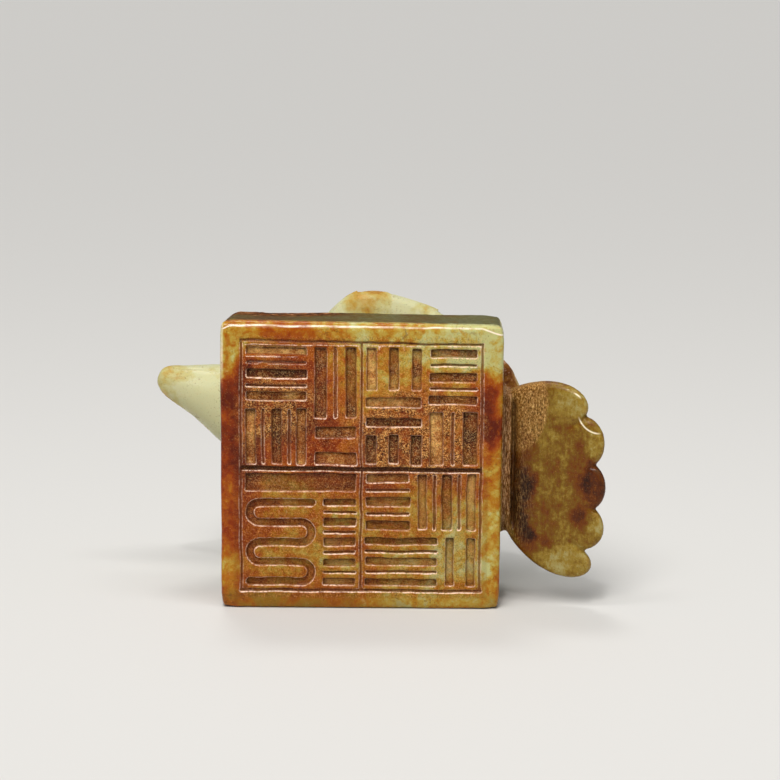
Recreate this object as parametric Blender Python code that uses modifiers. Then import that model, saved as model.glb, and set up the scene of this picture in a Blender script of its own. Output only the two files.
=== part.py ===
"""Carved jade seal stamp with a bird knob, lying on one side of its block.

Metres, +Z up. The origin is on the ground under the middle of the block.
X runs from the bird's head (-X) to its tail (+X), the seal face looks along -Y,
and the bird is carved on the back of the block, so its back looks along +Y.
The whole thing is one piece of stone, so it is one solid.
"""

import math

import bmesh
import bpy

MM = 0.001

# Block
BLOCK_WIDTH = 49.0 * MM
BLOCK_DEPTH = 14.0 * MM
BLOCK_HEIGHT = 51.0 * MM
BLOCK_EDGE = 0.8 * MM
BLOCK_EDGE_SEGMENTS = 3
BLOCK_FLARE = 0.4 * MM

# Worn hollow along the upper edge of the block's back
WEAR_LENGTH = 15.0 * MM
WEAR_DEPTH = 0.9 * MM
WEAR_FROM_SIDE = 8.5 * MM

# Seal face: frame groove, two dividers and strokes in four fields
FACE_MARGIN = 3.3 * MM
LINE_WIDTH = 0.6 * MM
LINE_DEPTH = 0.5 * MM
DIVIDER_WIDTH = 0.9 * MM
DIVIDER_DEPTH = 0.8 * MM
FIELD_MARGIN = 0.8 * MM
STROKE_DEPTH = 1.0 * MM
STROKE_SLOPE = 0.22 * MM
CUTTER_STAND = 0.5 * MM
LEFT_FIELD_SHARE = 0.50
UPPER_FIELD_SHARE = 0.505

# Bird: its reach past the block, its height over the block's back and its span
HEAD_REACH = 14.2 * MM
BIRD_RISE = 21.0 * MM
WING_OVERHANG = 2.8 * MM
WING_GROUND_OFF = 0.2 * MM

# Wing feathers
FEATHER_STEP = 1.0 * MM
FEATHER_COLUMNS = 5
LINES_PER_FEATHER = 6

# Tail fan
TAIL_LENGTH = 18.4 * MM
TAIL_ROOT_INSET = 3.0 * MM
TAIL_SIDE_STEP = 4.7 * MM
TAIL_ROOT_THICKNESS = 4.6 * MM
TAIL_EDGE_THICKNESS = 3.0 * MM
TAIL_FACE_CLEARANCE = 0.8 * MM
TAIL_ROOT_BACK = 7.4 * MM
TAIL_GROOVE = 0.8 * MM
TAIL_LINES_PER_LOBE = 8

# Bar of stone beside the block that the tail grows from, and the crevice along it
TAIL_BAR_WIDTH = 2.7 * MM
TAIL_BAR_HEIGHT = 25.8 * MM
TAIL_BAR_SIDE_STEP = 1.6 * MM
TAIL_BAR_FRONT = 6.9 * MM
TAIL_BAR_INSET = 3.8 * MM
TAIL_BAR_BACK_REACH = 3.0 * MM
TAIL_BAR_SIDES = 18
TAIL_BAR_ROUNDNESS = 0.5
CREVICE_WIDTH = 0.6 * MM
CREVICE_DEPTH = 1.6 * MM
CREVICE_HEIGHT = 25.0 * MM

# Eyes
EYE_RADIUS = 1.7 * MM
EYE_STAND = 0.35 * MM
EYE_PLACE = -1.24
EYE_HEIGHT_SHARE = 0.76

# Resolution of the lofts
TRUNK_STATIONS = 32
TRUNK_SIDES = 28

# Places that follow from the sizes above
SIDE_X = BLOCK_WIDTH / 2
FACE_Y = -BLOCK_DEPTH / 2
BACK_Y = BLOCK_DEPTH / 2
HALF_SPAN = (BLOCK_HEIGHT + WING_OVERHANG + WING_GROUND_OFF) / 2
MIDDLE_Z = HALF_SPAN - WING_GROUND_OFF

# Trunk stations: place along X (shares of half the block's width, the head's reach
# counts on from -1), sideways shift, half width (shares of half the span), and the
# lowest and highest point over the block's back (shares of the bird's rise).
TRUNK = (
    (-2.00, 0.356, 0.020, 0.70, 0.76),
    (-1.94, 0.356, 0.080, 0.64, 0.83),
    (-1.82, 0.340, 0.120, 0.60, 0.90),
    (-1.62, 0.300, 0.155, 0.56, 1.00),
    (-1.42, 0.255, 0.200, 0.52, 1.12),
    (-1.18, 0.184, 0.258, 0.46, 1.22),
    (-1.00, 0.145, 0.300, 0.37, 1.24),
    (-0.84, 0.100, 0.300, 0.20, 1.16),
    (-0.70, 0.065, 0.330, 0.00, 1.02),
    (-0.54, 0.030, 0.470, -0.10, 0.95),
    (-0.34, 0.010, 0.620, -0.12, 0.97),
    (-0.05, 0.000, 0.720, -0.12, 1.00),
    (0.25, -0.005, 0.740, -0.12, 0.98),
    (0.55, -0.020, 0.680, -0.12, 0.88),
    (0.85, -0.045, 0.550, -0.20, 0.68),
    (1.04, -0.060, 0.480, -0.29, 0.54),
    (1.12, -0.070, 0.440, -0.28, 0.46),
    (1.19, -0.080, 0.340, -0.18, 0.34),
    (1.24, -0.085, 0.200, -0.08, 0.24),
    (1.26, -0.086, 0.060, 0.02, 0.14),
)

# Wing stations: place along X (shares of half the block's width), inner and outer
# edge (shares of half the span), inner and outer height (shares of the rise), and
# thickness at the outer edge (share of the rise).
WING = (
    (-0.56, 0.38, 0.46, 0.50, 0.48, 0.04),
    (-0.50, 0.34, 0.56, 0.66, 0.47, 0.12),
    (-0.40, 0.28, 0.70, 0.78, 0.46, 0.18),
    (-0.26, 0.24, 0.85, 0.86, 0.45, 0.21),
    (-0.13, 0.21, 0.955, 0.92, 0.44, 0.22),
    (0.00, 0.19, 1.00, 0.96, 0.43, 0.22),
    (0.20, 0.17, 0.985, 0.97, 0.41, 0.21),
    (0.43, 0.15, 0.920, 0.93, 0.37, 0.19),
    (0.60, 0.13, 0.855, 0.87, 0.32, 0.17),
    (0.82, 0.08, 0.730, 0.76, 0.25, 0.15),
    (1.04, 0.035, 0.600, 0.64, 0.18, 0.13),
    (1.17, 0.022, 0.400, 0.56, 0.15, 0.11),
    (1.26, 0.026, 0.190, 0.46, 0.19, 0.08),
    (1.30, 0.045, 0.100, 0.36, 0.24, 0.03),
)

# Ends of the feather rows along X, at the wing's inner and outer edge
# (shares of half the block's width), and how far the rounded tips reach.
FEATHER_ROWS = (
    (-0.12, -0.16),
    (0.16, 0.09),
    (0.62, 0.43),
)
FEATHER_TIP_REACH = 0.11

# Tail lobes: angles of the notches (degrees, 0 along +X) and their distance from
# the root (shares of the fan's radius), then each lobe's bulge and its skew.
NOTCH_ANGLES = (74.2, 34.3, 10.9, -11.7, -33.0, -63.2)
NOTCH_REACH = (0.772, 1.012, 0.937, 0.944, 0.986, 0.508)
LOBE_BULGE = (0.178, 0.115, 0.086, 0.130, 0.330)
LOBE_SKEW = (1.75, 1.0, 1.0, 1.0, 0.85)
LOBE_FULLNESS = 0.55

# Stations up the bar beside the block: place in shares of half its height, and size
TAIL_BAR_STATIONS = (
    (-1.00, 0.62),
    (-0.97, 0.83),
    (-0.90, 0.97),
    (-0.78, 1.00),
    (0.78, 1.00),
    (0.90, 0.97),
    (0.97, 0.83),
    (1.00, 0.62),
)


def smooth_table(rows, place):
    """Read a table of stations at any place along it, on a smooth curve."""
    last = len(rows) - 1
    if place <= rows[0][0]:
        return rows[0][1:]
    if place >= rows[last][0]:
        return rows[last][1:]
    index = 0
    while rows[index + 1][0] < place:
        index += 1
    before = rows[max(index - 1, 0)]
    start = rows[index]
    end = rows[index + 1]
    after = rows[min(index + 2, last)]
    span = end[0] - start[0]
    t = (place - start[0]) / span
    values = []
    for column in range(1, len(start)):
        slope_in = (end[column] - before[column]) / (end[0] - before[0]) * span
        slope_out = (after[column] - start[column]) / (after[0] - start[0]) * span
        values.append(
            (2 * t**3 - 3 * t**2 + 1) * start[column]
            + (t**3 - 2 * t**2 + t) * slope_in
            + (3 * t**2 - 2 * t**3) * end[column]
            + (t**3 - t**2) * slope_out
        )
    return tuple(values)


def along_x(share):
    """X of a place given in shares; past -1 it runs out along the head's reach."""
    if share < -1.0:
        return -SIDE_X + (share + 1.0) * HEAD_REACH
    return share * SIDE_X


def power(value, exponent):
    return math.copysign(abs(value) ** exponent, value)


def collection(name):
    made = bpy.data.collections.new(name)
    bpy.context.scene.collection.children.link(made)
    return made


def add_object(name, bm, home):
    mesh = bpy.data.meshes.new(name)
    bmesh.ops.recalc_face_normals(bm, faces=bm.faces[:])
    bm.to_mesh(mesh)
    bm.free()
    made = bpy.data.objects.new(name, mesh)
    home.objects.link(made)
    return made


def as_guide(made):
    """Mark a form that is joined to, or cut from, the block."""
    made.hide_render = True
    made.display_type = 'WIRE'
    return made


def loft(name, rings, home):
    """Close a row of equal-sized rings into one body, with a cap at each end."""
    bm = bmesh.new()
    rows = [[bm.verts.new(point) for point in ring] for ring in rings]
    count = len(rows[0])
    for near, far in zip(rows, rows[1:]):
        for i in range(count):
            j = (i + 1) % count
            bm.faces.new((near[i], near[j], far[j], far[i]))
    bm.faces.new(rows[0])
    bm.faces.new(rows[-1])
    return add_object(name, bm, home)


def combine(target, form, operation):
    step = target.modifiers.new(form.name, 'BOOLEAN')
    step.operation = operation
    step.object = form
    step.solver = 'EXACT'


def make_block(home):
    """The square block, a little wider above, rounded and split along the dividers."""
    bm = bmesh.new()
    bmesh.ops.create_cube(bm, size=1.0)
    for vert in bm.verts:
        flare = BLOCK_FLARE * (vert.co.z + 0.5)
        vert.co.x *= BLOCK_WIDTH + flare
        vert.co.y *= BLOCK_DEPTH
        vert.co.z = (vert.co.z + 0.5) * BLOCK_HEIGHT
    _, middle_x, _, _, middle_z, _ = face_lines()
    upright = ((middle_x, 0, 0), (1, 0, 0))
    level = ((0, 0, middle_z), (0, 0, 1))
    for place, direction in (upright, level):
        everything = bm.verts[:] + bm.edges[:] + bm.faces[:]
        bmesh.ops.bisect_plane(bm, geom=everything, plane_co=place, plane_no=direction)
    block = add_object("jade_seal", bm, home)
    rounding = block.modifiers.new("rounded edges", 'BEVEL')
    rounding.width = BLOCK_EDGE
    rounding.segments = BLOCK_EDGE_SEGMENTS
    rounding.limit_method = 'ANGLE'
    return block


def make_trunk(home):
    """Beak, head, neck, back and rump as one loft along the bird."""
    rings = []
    first = TRUNK[0][0]
    last = TRUNK[-1][0]
    for index in range(TRUNK_STATIONS):
        step = index / (TRUNK_STATIONS - 1)
        eased = step - 0.11 * math.sin(2 * math.pi * step) / math.pi
        share = first + (last - first) * eased
        shift, half_width, low, high = smooth_table(TRUNK, share)
        x = along_x(share)
        centre_y = BACK_Y + (low + high) / 2 * BIRD_RISE
        half_height = (high - low) / 2 * BIRD_RISE
        ring = []
        for side in range(TRUNK_SIDES):
            angle = 2 * math.pi * side / TRUNK_SIDES
            y = centre_y + half_height * power(math.sin(angle), 0.9)
            z = MIDDLE_Z + HALF_SPAN * (shift + half_width * power(math.cos(angle), 0.9))
            ring.append((x, y, z))
        rings.append(ring)
    return as_guide(loft("trunk", rings, home))


def feather_tip(across, row):
    """How far a feather's rounded end reaches, across the wing from 0 to 1."""
    shifted = across * FEATHER_COLUMNS + 0.5 * (row % 2)
    place = 2 * (shifted - math.floor(shifted)) - 1
    return max(0.0, 1 - place * place) ** 0.7


def row_end(row, across):
    inner, outer = FEATHER_ROWS[row]
    return inner + (outer - inner) * across + FEATHER_TIP_REACH * feather_tip(across, row)


def wing_stations(across):
    """Places along X on one line of the wing, each with the feather's height there."""
    first = WING[0][0]
    last = WING[-1][0]
    places = [(first, 0.0), (first + 0.05, 0.0), (first + 0.13, 0.1), (first + 0.24, 0.25)]
    start = first + 0.24
    for row in range(len(FEATHER_ROWS)):
        end = row_end(row, across)
        places.append((start + (end - start) * 0.5, 0.6 if row else 0.5))
        places.append((end, 1.0))
        places.append((end + 0.025, 0.05))
        start = end + 0.025
    for share, height in ((0.25, 0.25), (0.5, 0.45), (0.75, 0.5), (0.92, 0.4), (1.0, 0.0)):
        places.append((start + (last - start) * share, height))
    return places


def crown(across, row):
    """Each feather stands highest along its middle."""
    shifted = across * FEATHER_COLUMNS + 0.5 * (row % 2)
    place = 2 * (shifted - math.floor(shifted)) - 1
    return 0.45 + 0.55 * (1 - place * place)


def wing_point(share, across, lift, under):
    """A point of the wing's skin, with its distance from the bird's middle as z."""
    inner, outer, inner_height, edge_height, thickness = smooth_table(WING, share)
    angle = across * math.pi / 2
    reach = (outer - inner) * HALF_SPAN
    if under:
        drop = thickness * BIRD_RISE
        y = BACK_Y + edge_height * BIRD_RISE - drop * math.cos(angle) ** 0.8
        return along_x(share), y, inner * HALF_SPAN + reach * math.sin(angle)
    rise = (inner_height - edge_height) * BIRD_RISE
    normal_y = math.cos(angle) * reach
    normal_z = math.sin(angle) * rise
    size = math.hypot(normal_y, normal_z) or 1.0
    y = BACK_Y + edge_height * BIRD_RISE + rise * math.cos(angle) + lift * normal_y / size
    z = inner * HALF_SPAN + reach * math.sin(angle) + lift * normal_z / size
    return along_x(share), y, z


def make_wing(name, side, home):
    """A folded wing with stepped rows of round-ended feathers."""
    lines = FEATHER_COLUMNS * LINES_PER_FEATHER
    columns = []
    for line in range(lines + 1):
        across = line / lines
        column = []
        for index, (share, height) in enumerate(wing_stations(across)):
            row = min(max((index - 4) // 3, 0), len(FEATHER_ROWS))
            edge_fade = math.sin(math.pi * (1 - across) / 2) ** 0.35
            lift = FEATHER_STEP * height * crown(across, row) * edge_fade
            column.append(wing_point(share, across, lift, False))
        columns.append(column)
    for line in (0.75, 0.5, 0.25, 0.0):
        stations = wing_stations(1.0)
        columns.append([wing_point(share, line, 0.0, True) for share, _ in stations])
    rings = []
    for index in range(len(columns[0])):
        rings.append([(x, y, MIDDLE_Z + side * z) for x, y, z in (c[index] for c in columns)])
    return as_guide(loft(name, rings, home))


def tail_reach(angle):
    """Distance from the fan's root to its rim, in metres, at an angle in degrees."""
    lobe = 0
    while lobe < len(LOBE_BULGE) - 1 and angle < NOTCH_ANGLES[lobe + 1]:
        lobe += 1
    upper = NOTCH_ANGLES[lobe]
    lower = NOTCH_ANGLES[lobe + 1]
    t = min(max((upper - angle) / (upper - lower), 0.0), 1.0)
    base = NOTCH_REACH[lobe] + (NOTCH_REACH[lobe + 1] - NOTCH_REACH[lobe]) * t
    bulge = LOBE_BULGE[lobe] * math.sin(math.pi * t ** LOBE_SKEW[lobe]) ** LOBE_FULLNESS
    return (TAIL_LENGTH + TAIL_ROOT_INSET) * (base + bulge)


def tail_crown(angle):
    """1 along the middle of a lobe, 0 at the notches."""
    for upper, lower in zip(NOTCH_ANGLES, NOTCH_ANGLES[1:]):
        if lower <= angle <= upper:
            along = min(max((upper - angle) / (upper - lower), 0.0), 1.0)
            return math.sin(math.pi * along) ** 0.6
    return 0.0


def tail_angles():
    angles = []
    for upper, lower in zip(NOTCH_ANGLES, NOTCH_ANGLES[1:]):
        for step in range(TAIL_LINES_PER_LOBE):
            t = (1 - math.cos(math.pi * step / TAIL_LINES_PER_LOBE)) / 2
            angles.append(upper + (lower - upper) * t)
    angles.append(NOTCH_ANGLES[-1])
    return angles


def make_tail(home):
    """A drooping fan of five lobes, fluted on the bird's side."""
    root_z = MIDDLE_Z - TAIL_SIDE_STEP
    root_y = FACE_Y + TAIL_ROOT_BACK
    drop = TAIL_ROOT_BACK - TAIL_FACE_CLEARANCE
    rings = []
    for angle in tail_angles():
        reach = tail_reach(angle)
        direction = math.radians(angle)
        ring = []
        under = (0.10, 0.3, 0.5, 0.7, 0.86, 0.95)
        rim = ((0.988, 0.2), (1.0, 0.5), (0.988, 0.8))
        top = (0.95, 0.86, 0.7, 0.5, 0.3, 0.10)
        profile = [(share, 0.0) for share in under] + list(rim) + [(share, 1.0) for share in top]
        for share, through in profile:
            across = share * reach * math.cos(direction) - TAIL_ROOT_INSET
            fall = across / TAIL_LENGTH
            thickness = TAIL_ROOT_THICKNESS + (TAIL_EDGE_THICKNESS - TAIL_ROOT_THICKNESS) * fall
            y = root_y - drop * fall + thickness * through
            if through == 1.0:
                y -= TAIL_GROOVE * (1 - tail_crown(angle)) * min(1.0, share * 1.6)
            ring.append((SIDE_X + across, y, root_z + share * reach * math.sin(direction)))
        rings.append(ring)
    return as_guide(loft("tail", rings, home))


def make_tail_bar(home):
    """The rounded bar beside the block that the tail grows from."""
    half_width = (TAIL_BAR_WIDTH + TAIL_BAR_INSET) / 2
    half_depth = (BLOCK_DEPTH - TAIL_BAR_FRONT + TAIL_BAR_BACK_REACH) / 2
    centre_x = SIDE_X + TAIL_BAR_WIDTH - half_width
    centre_y = FACE_Y + TAIL_BAR_FRONT + half_depth
    centre_z = MIDDLE_Z - TAIL_BAR_SIDE_STEP
    rings = []
    for place, size in TAIL_BAR_STATIONS:
        ring = []
        for side in range(TAIL_BAR_SIDES):
            angle = 2 * math.pi * (side + 0.5) / TAIL_BAR_SIDES
            x = centre_x + half_width * size * power(math.cos(angle), TAIL_BAR_ROUNDNESS)
            y = centre_y + half_depth * size * power(math.sin(angle), TAIL_BAR_ROUNDNESS)
            ring.append((x, y, centre_z + place * TAIL_BAR_HEIGHT / 2))
        rings.append(ring)
    return as_guide(loft("tail bar", rings, home))


def make_crevice(home):
    """The narrow crevice between the bar and the tail, open towards the seal face."""
    bm = bmesh.new()
    made = bmesh.ops.create_cube(bm, size=1.0)
    for vert in made['verts']:
        deep = vert.co.y > 0
        half = CREVICE_WIDTH * (0.3 if deep else 0.7)
        vert.co.x = SIDE_X + TAIL_BAR_WIDTH + math.copysign(half, vert.co.x)
        vert.co.y = FACE_Y + TAIL_BAR_FRONT + (CREVICE_DEPTH if deep else -2 * CREVICE_DEPTH)
        vert.co.z = MIDDLE_Z - TAIL_BAR_SIDE_STEP + vert.co.z * CREVICE_HEIGHT
    return as_guide(add_object("tail crevice", bm, home))


def make_eye(name, side, home):
    """A low round eye high on the side of the head."""
    shift, half_width, low, high = smooth_table(TRUNK, EYE_PLACE)
    lift = 2 * EYE_HEIGHT_SHARE - 1
    local_half = half_width * (1 - lift * lift) ** 0.5
    bm = bmesh.new()
    bmesh.ops.create_uvsphere(bm, u_segments=10, v_segments=6, radius=EYE_RADIUS)
    eye = add_object(name, bm, home)
    stand = local_half * HALF_SPAN - EYE_RADIUS + EYE_STAND
    y = BACK_Y + (low + (high - low) * EYE_HEIGHT_SHARE) * BIRD_RISE
    eye.location = (along_x(EYE_PLACE), y, MIDDLE_Z + shift * HALF_SPAN + side * stand)
    return as_guide(eye)


def stroke(bm, x0, x1, z0, z1, depth):
    """A slot with sloping walls, standing a little out of the seal face."""
    made = bmesh.ops.create_cube(bm, size=1.0)
    slope_out = STROKE_SLOPE * CUTTER_STAND / depth
    for vert in made['verts']:
        deep = vert.co.y > 0
        spread = -STROKE_SLOPE if deep else slope_out
        x = x0 - spread if vert.co.x < 0 else x1 + spread
        z = z0 - spread if vert.co.z < 0 else z1 + spread
        y = FACE_Y + depth if deep else FACE_Y - CUTTER_STAND
        vert.co = (x, y, z)


def face_lines():
    """Centre lines of the frame groove and its two dividers."""
    left = -SIDE_X + FACE_MARGIN
    right = SIDE_X - FACE_MARGIN
    low = FACE_MARGIN
    high = BLOCK_HEIGHT - FACE_MARGIN
    middle_x = left + (right - left) * LEFT_FIELD_SHARE
    middle_z = low + (high - low) * (1 - UPPER_FIELD_SHARE)
    return left, middle_x, right, low, middle_z, high


def field_box(field, shares):
    """A box given in shares of one of the four fields: x0, x1, z0, z1."""
    left, middle_x, right, low, middle_z, high = face_lines()
    x0, x1 = (left, middle_x) if "left" in field else (middle_x, right)
    z0, z1 = (middle_z, high) if "upper" in field else (low, middle_z)
    x0, x1 = x0 + FIELD_MARGIN, x1 - FIELD_MARGIN
    z0, z1 = z0 + FIELD_MARGIN, z1 - FIELD_MARGIN
    px0, px1, pz0, pz1 = shares
    return (
        x0 + (x1 - x0) * px0,
        x0 + (x1 - x0) * px1,
        z0 + (z1 - z0) * pz0,
        z0 + (z1 - z0) * pz1,
    )


# Panels of strokes: field, then its box in shares of the field, the number of wide
# strokes, which way they run, and whether thin lines run between them.
PANELS = (
    ("upper left", (0.00, 0.55, 0.55, 1.00), 3, "across", True),
    ("upper left", (0.62, 1.00, 0.40, 1.00), 2, "up", True),
    ("upper left", (0.00, 0.55, 0.00, 0.48), 3, "up", True),
    ("upper left", (0.62, 1.00, 0.00, 0.33), 2, "across", False),
    ("upper right", (0.00, 0.50, 0.64, 1.00), 3, "up", False),
    ("upper right", (0.57, 1.00, 0.52, 1.00), 3, "across", True),
    ("upper right", (0.00, 0.50, 0.32, 0.58), 2, "across", False),
    ("upper right", (0.57, 1.00, 0.00, 0.46), 2, "up", True),
    ("upper right", (0.00, 0.50, 0.00, 0.26), 3, "up", False),
    ("lower left", (0.00, 1.00, 0.84, 1.00), 1, "across", False),
    ("lower left", (0.70, 1.00, 0.00, 0.78), 5, "across", True),
    ("lower right", (0.00, 0.40, 0.50, 1.00), 3, "across", True),
    ("lower right", (0.47, 1.00, 0.50, 1.00), 3, "up", True),
    ("lower right", (0.00, 0.66, 0.00, 0.44), 3, "across", True),
    ("lower right", (0.73, 1.00, 0.00, 0.44), 2, "up", False),
)
WIDE_FILL = 0.40
CLOSE_FILL = 0.46

# The winding stroke: its field and box, its number of runs and its share of the pitch
WINDING_FIELD = "lower left"
WINDING_BOX = (0.00, 0.63, 0.00, 0.78)
WINDING_RUNS = 5
WINDING_FILL = 0.42
WINDING_TURN_STEPS = 6


def panel_strokes(direction):
    """The strokes that run one way: x0, x1, z0, z1 and depth."""
    found = []
    for field, shares, count, way, with_lines in PANELS:
        if way != direction:
            continue
        x0, x1, z0, z1 = field_box(field, shares)
        across = way == "across"
        start, end = (z0, z1) if across else (x0, x1)
        fill = WIDE_FILL if with_lines else CLOSE_FILL
        pitch = (end - start) / (count - 1 + fill)
        width = pitch * fill
        bands = []
        for index in range(count):
            low = start + pitch * index
            bands.append((low, low + width, STROKE_DEPTH))
            if with_lines and index < count - 1:
                middle = low + (pitch + width) / 2
                bands.append((middle - LINE_WIDTH / 2, middle + LINE_WIDTH / 2, LINE_DEPTH))
        for low, high, depth in bands:
            found.append((x0, x1, low, high, depth) if across else (low, high, z0, z1, depth))
    return found


def make_strokes(name, direction, home):
    bm = bmesh.new()
    left, middle_x, right, low, middle_z, high = face_lines()
    line = LINE_WIDTH / 2
    wide = DIVIDER_WIDTH / 2
    if direction == "across":
        for z in (low, high):
            stroke(bm, left - line, right + line, z - line, z + line, LINE_DEPTH)
        stroke(bm, left, right, middle_z - wide, middle_z + wide, DIVIDER_DEPTH)
    else:
        for x in (left, right):
            stroke(bm, x - line, x + line, low - line, high + line, LINE_DEPTH)
        stroke(bm, middle_x - line, middle_x + line, low, high, LINE_DEPTH)
    for x0, x1, z0, z1, depth in panel_strokes(direction):
        stroke(bm, x0, x1, z0, z1, depth)
    return as_guide(add_object(name, bm, home))


def winding_path():
    """Centre line of the winding stroke, run to and fro with round turns, and its width."""
    x0, x1, z0, z1 = field_box(WINDING_FIELD, WINDING_BOX)
    pitch = (z1 - z0) / (WINDING_RUNS - 1 + WINDING_FILL)
    width = pitch * WINDING_FILL
    turn = pitch / 2
    left = x0 + turn + width / 2
    right = x1 - turn - width / 2
    path = []
    for run in range(WINDING_RUNS):
        z = z0 + width / 2 + pitch * run
        rightward = run % 2 == 0
        start, end = (left, right) if rightward else (right, left)
        bend = 1 if rightward else -1
        if run == 0:
            start -= turn
        if run == WINDING_RUNS - 1:
            end += bend * turn
        path.append((start, z))
        path.append((end, z))
        if run == WINDING_RUNS - 1:
            continue
        for step in range(1, WINDING_TURN_STEPS):
            angle = -math.pi / 2 + math.pi * step / WINDING_TURN_STEPS
            path.append((end + bend * turn * math.cos(angle), z + turn + turn * math.sin(angle)))
    return path, width


def make_winding(home):
    """Sweep the stroke's sloping section along the winding path."""
    path, width = winding_path()
    slope_out = STROKE_SLOPE * CUTTER_STAND / STROKE_DEPTH
    deep = (width / 2 - STROKE_SLOPE, FACE_Y + STROKE_DEPTH)
    outer = (width / 2 + slope_out, FACE_Y - CUTTER_STAND)
    rings = []
    for index, (x, z) in enumerate(path):
        ahead = path[min(index + 1, len(path) - 1)]
        behind = path[max(index - 1, 0)]
        along = math.hypot(ahead[0] - behind[0], ahead[1] - behind[1])
        side_x = -(ahead[1] - behind[1]) / along
        side_z = (ahead[0] - behind[0]) / along
        ring = []
        for reach, y in (deep, outer, (-outer[0], outer[1]), (-deep[0], deep[1])):
            ring.append((x + side_x * reach, y, z + side_z * reach))
        rings.append(ring)
    return as_guide(loft("winding stroke", rings, home))


def make_wear(home):
    """The long shallow hollow where the back's upper edge is worn away."""
    bm = bmesh.new()
    bmesh.ops.create_uvsphere(bm, u_segments=16, v_segments=10, radius=1.0)
    for vert in bm.verts:
        vert.co.x *= WEAR_LENGTH / 2
        vert.co.y *= 2 * WEAR_DEPTH
        vert.co.z *= 2 * WEAR_DEPTH
    wear = add_object("worn hollow", bm, home)
    wear.location = (
        -SIDE_X + WEAR_FROM_SIDE,
        BACK_Y + WEAR_DEPTH * 0.35,
        BLOCK_HEIGHT + WEAR_DEPTH * 0.75,
    )
    return as_guide(wear)


def make_ground(home):
    """Everything under the resting plane is ground off flat."""
    size = 4 * BLOCK_WIDTH
    bm = bmesh.new()
    bmesh.ops.create_cube(bm, size=size)
    ground = add_object("ground plane", bm, home)
    ground.location = (0.0, 0.0, -size / 2)
    return as_guide(ground)


def jade(name, colour, roughness):
    material = bpy.data.materials.new(name)
    material.use_nodes = True
    shader = material.node_tree.nodes["Principled BSDF"]
    shader.inputs["Base Color"].default_value = colour
    shader.inputs["Roughness"].default_value = roughness
    shader.inputs["Metallic"].default_value = 0.0
    return material


def main():
    for existing in list(bpy.data.objects):
        bpy.data.objects.remove(existing, do_unlink=True)
    parts = collection("jade seal stamp")
    forms = collection("forms and cutters")
    seal = make_block(parts)
    combine(seal, make_strokes("strokes across", "across", forms), 'DIFFERENCE')
    combine(seal, make_strokes("strokes up", "up", forms), 'DIFFERENCE')
    combine(seal, make_winding(forms), 'DIFFERENCE')
    combine(seal, make_wear(forms), 'DIFFERENCE')
    combine(seal, make_tail_bar(forms), 'UNION')
    combine(seal, make_tail(forms), 'UNION')
    combine(seal, make_crevice(forms), 'DIFFERENCE')
    combine(seal, make_trunk(forms), 'UNION')
    combine(seal, make_wing("upper wing", 1, forms), 'UNION')
    combine(seal, make_wing("lower wing", -1, forms), 'UNION')
    combine(seal, make_eye("upper eye", 1, forms), 'UNION')
    combine(seal, make_eye("lower eye", -1, forms), 'UNION')
    combine(seal, make_ground(forms), 'DIFFERENCE')
    seal.data.materials.append(jade("jade", (0.42, 0.30, 0.10, 1.0), 0.25))


main()
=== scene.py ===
import math

import bmesh
import bpy
import numpy as np
from mathutils.kdtree import KDTree
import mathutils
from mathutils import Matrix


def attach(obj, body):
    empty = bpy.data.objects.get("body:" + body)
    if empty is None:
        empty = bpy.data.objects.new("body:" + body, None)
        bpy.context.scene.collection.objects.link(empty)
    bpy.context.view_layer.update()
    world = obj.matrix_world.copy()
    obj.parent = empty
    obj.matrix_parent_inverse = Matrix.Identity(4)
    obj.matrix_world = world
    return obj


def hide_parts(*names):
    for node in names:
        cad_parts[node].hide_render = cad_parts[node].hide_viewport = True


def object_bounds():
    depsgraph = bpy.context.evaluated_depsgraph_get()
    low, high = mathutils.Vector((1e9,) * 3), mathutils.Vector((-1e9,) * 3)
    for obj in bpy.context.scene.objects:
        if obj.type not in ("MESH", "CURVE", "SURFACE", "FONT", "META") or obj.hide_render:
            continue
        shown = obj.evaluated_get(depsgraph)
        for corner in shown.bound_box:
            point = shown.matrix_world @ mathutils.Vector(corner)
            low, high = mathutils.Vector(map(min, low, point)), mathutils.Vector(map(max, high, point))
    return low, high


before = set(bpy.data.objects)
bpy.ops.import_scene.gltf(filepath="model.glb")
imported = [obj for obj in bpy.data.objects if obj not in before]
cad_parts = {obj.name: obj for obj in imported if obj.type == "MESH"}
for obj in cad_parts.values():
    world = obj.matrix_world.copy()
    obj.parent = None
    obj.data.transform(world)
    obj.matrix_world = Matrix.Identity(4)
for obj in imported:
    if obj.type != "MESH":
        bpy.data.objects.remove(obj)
CAD_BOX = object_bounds()

# All shapes below are worked out in millimetres and scaled to metres at the end
TO_METRES = 0.001

# Block
BLOCK_WIDTH = 49.0
BLOCK_DEPTH = 14.0
BLOCK_HEIGHT = 51.0
BLOCK_EDGE = 0.8
BLOCK_FLARE = 0.4
WEAR_LENGTH = 15.0
WEAR_DEPTH = 0.9
WEAR_FROM_SIDE = 8.5

# Seal face
FACE_MARGIN = 3.3
LINE_WIDTH = 0.6
LINE_DEPTH = 0.5
DIVIDER_WIDTH = 0.9
DIVIDER_DEPTH = 0.8
FIELD_MARGIN = 0.8
STROKE_DEPTH = 1.0
STROKE_WALL = 0.26
STROKE_LIP = 0.07
LEFT_FIELD_SHARE = 0.50
UPPER_FIELD_SHARE = 0.505

# Bird
HEAD_REACH = 14.2
BIRD_RISE = 21.0
WING_OVERHANG = 2.8
WING_GROUND_OFF = 0.2
FEATHER_STEP = 1.0
FEATHER_COLUMNS = 5
LINES_PER_FEATHER = 12
STATIONS_PER_ROW = 5
SMALL_GAP = 0.025
TRUNK_STATIONS = 90
TRUNK_SIDES = 64
TRUNK_ROUNDNESS = 0.9

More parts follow.
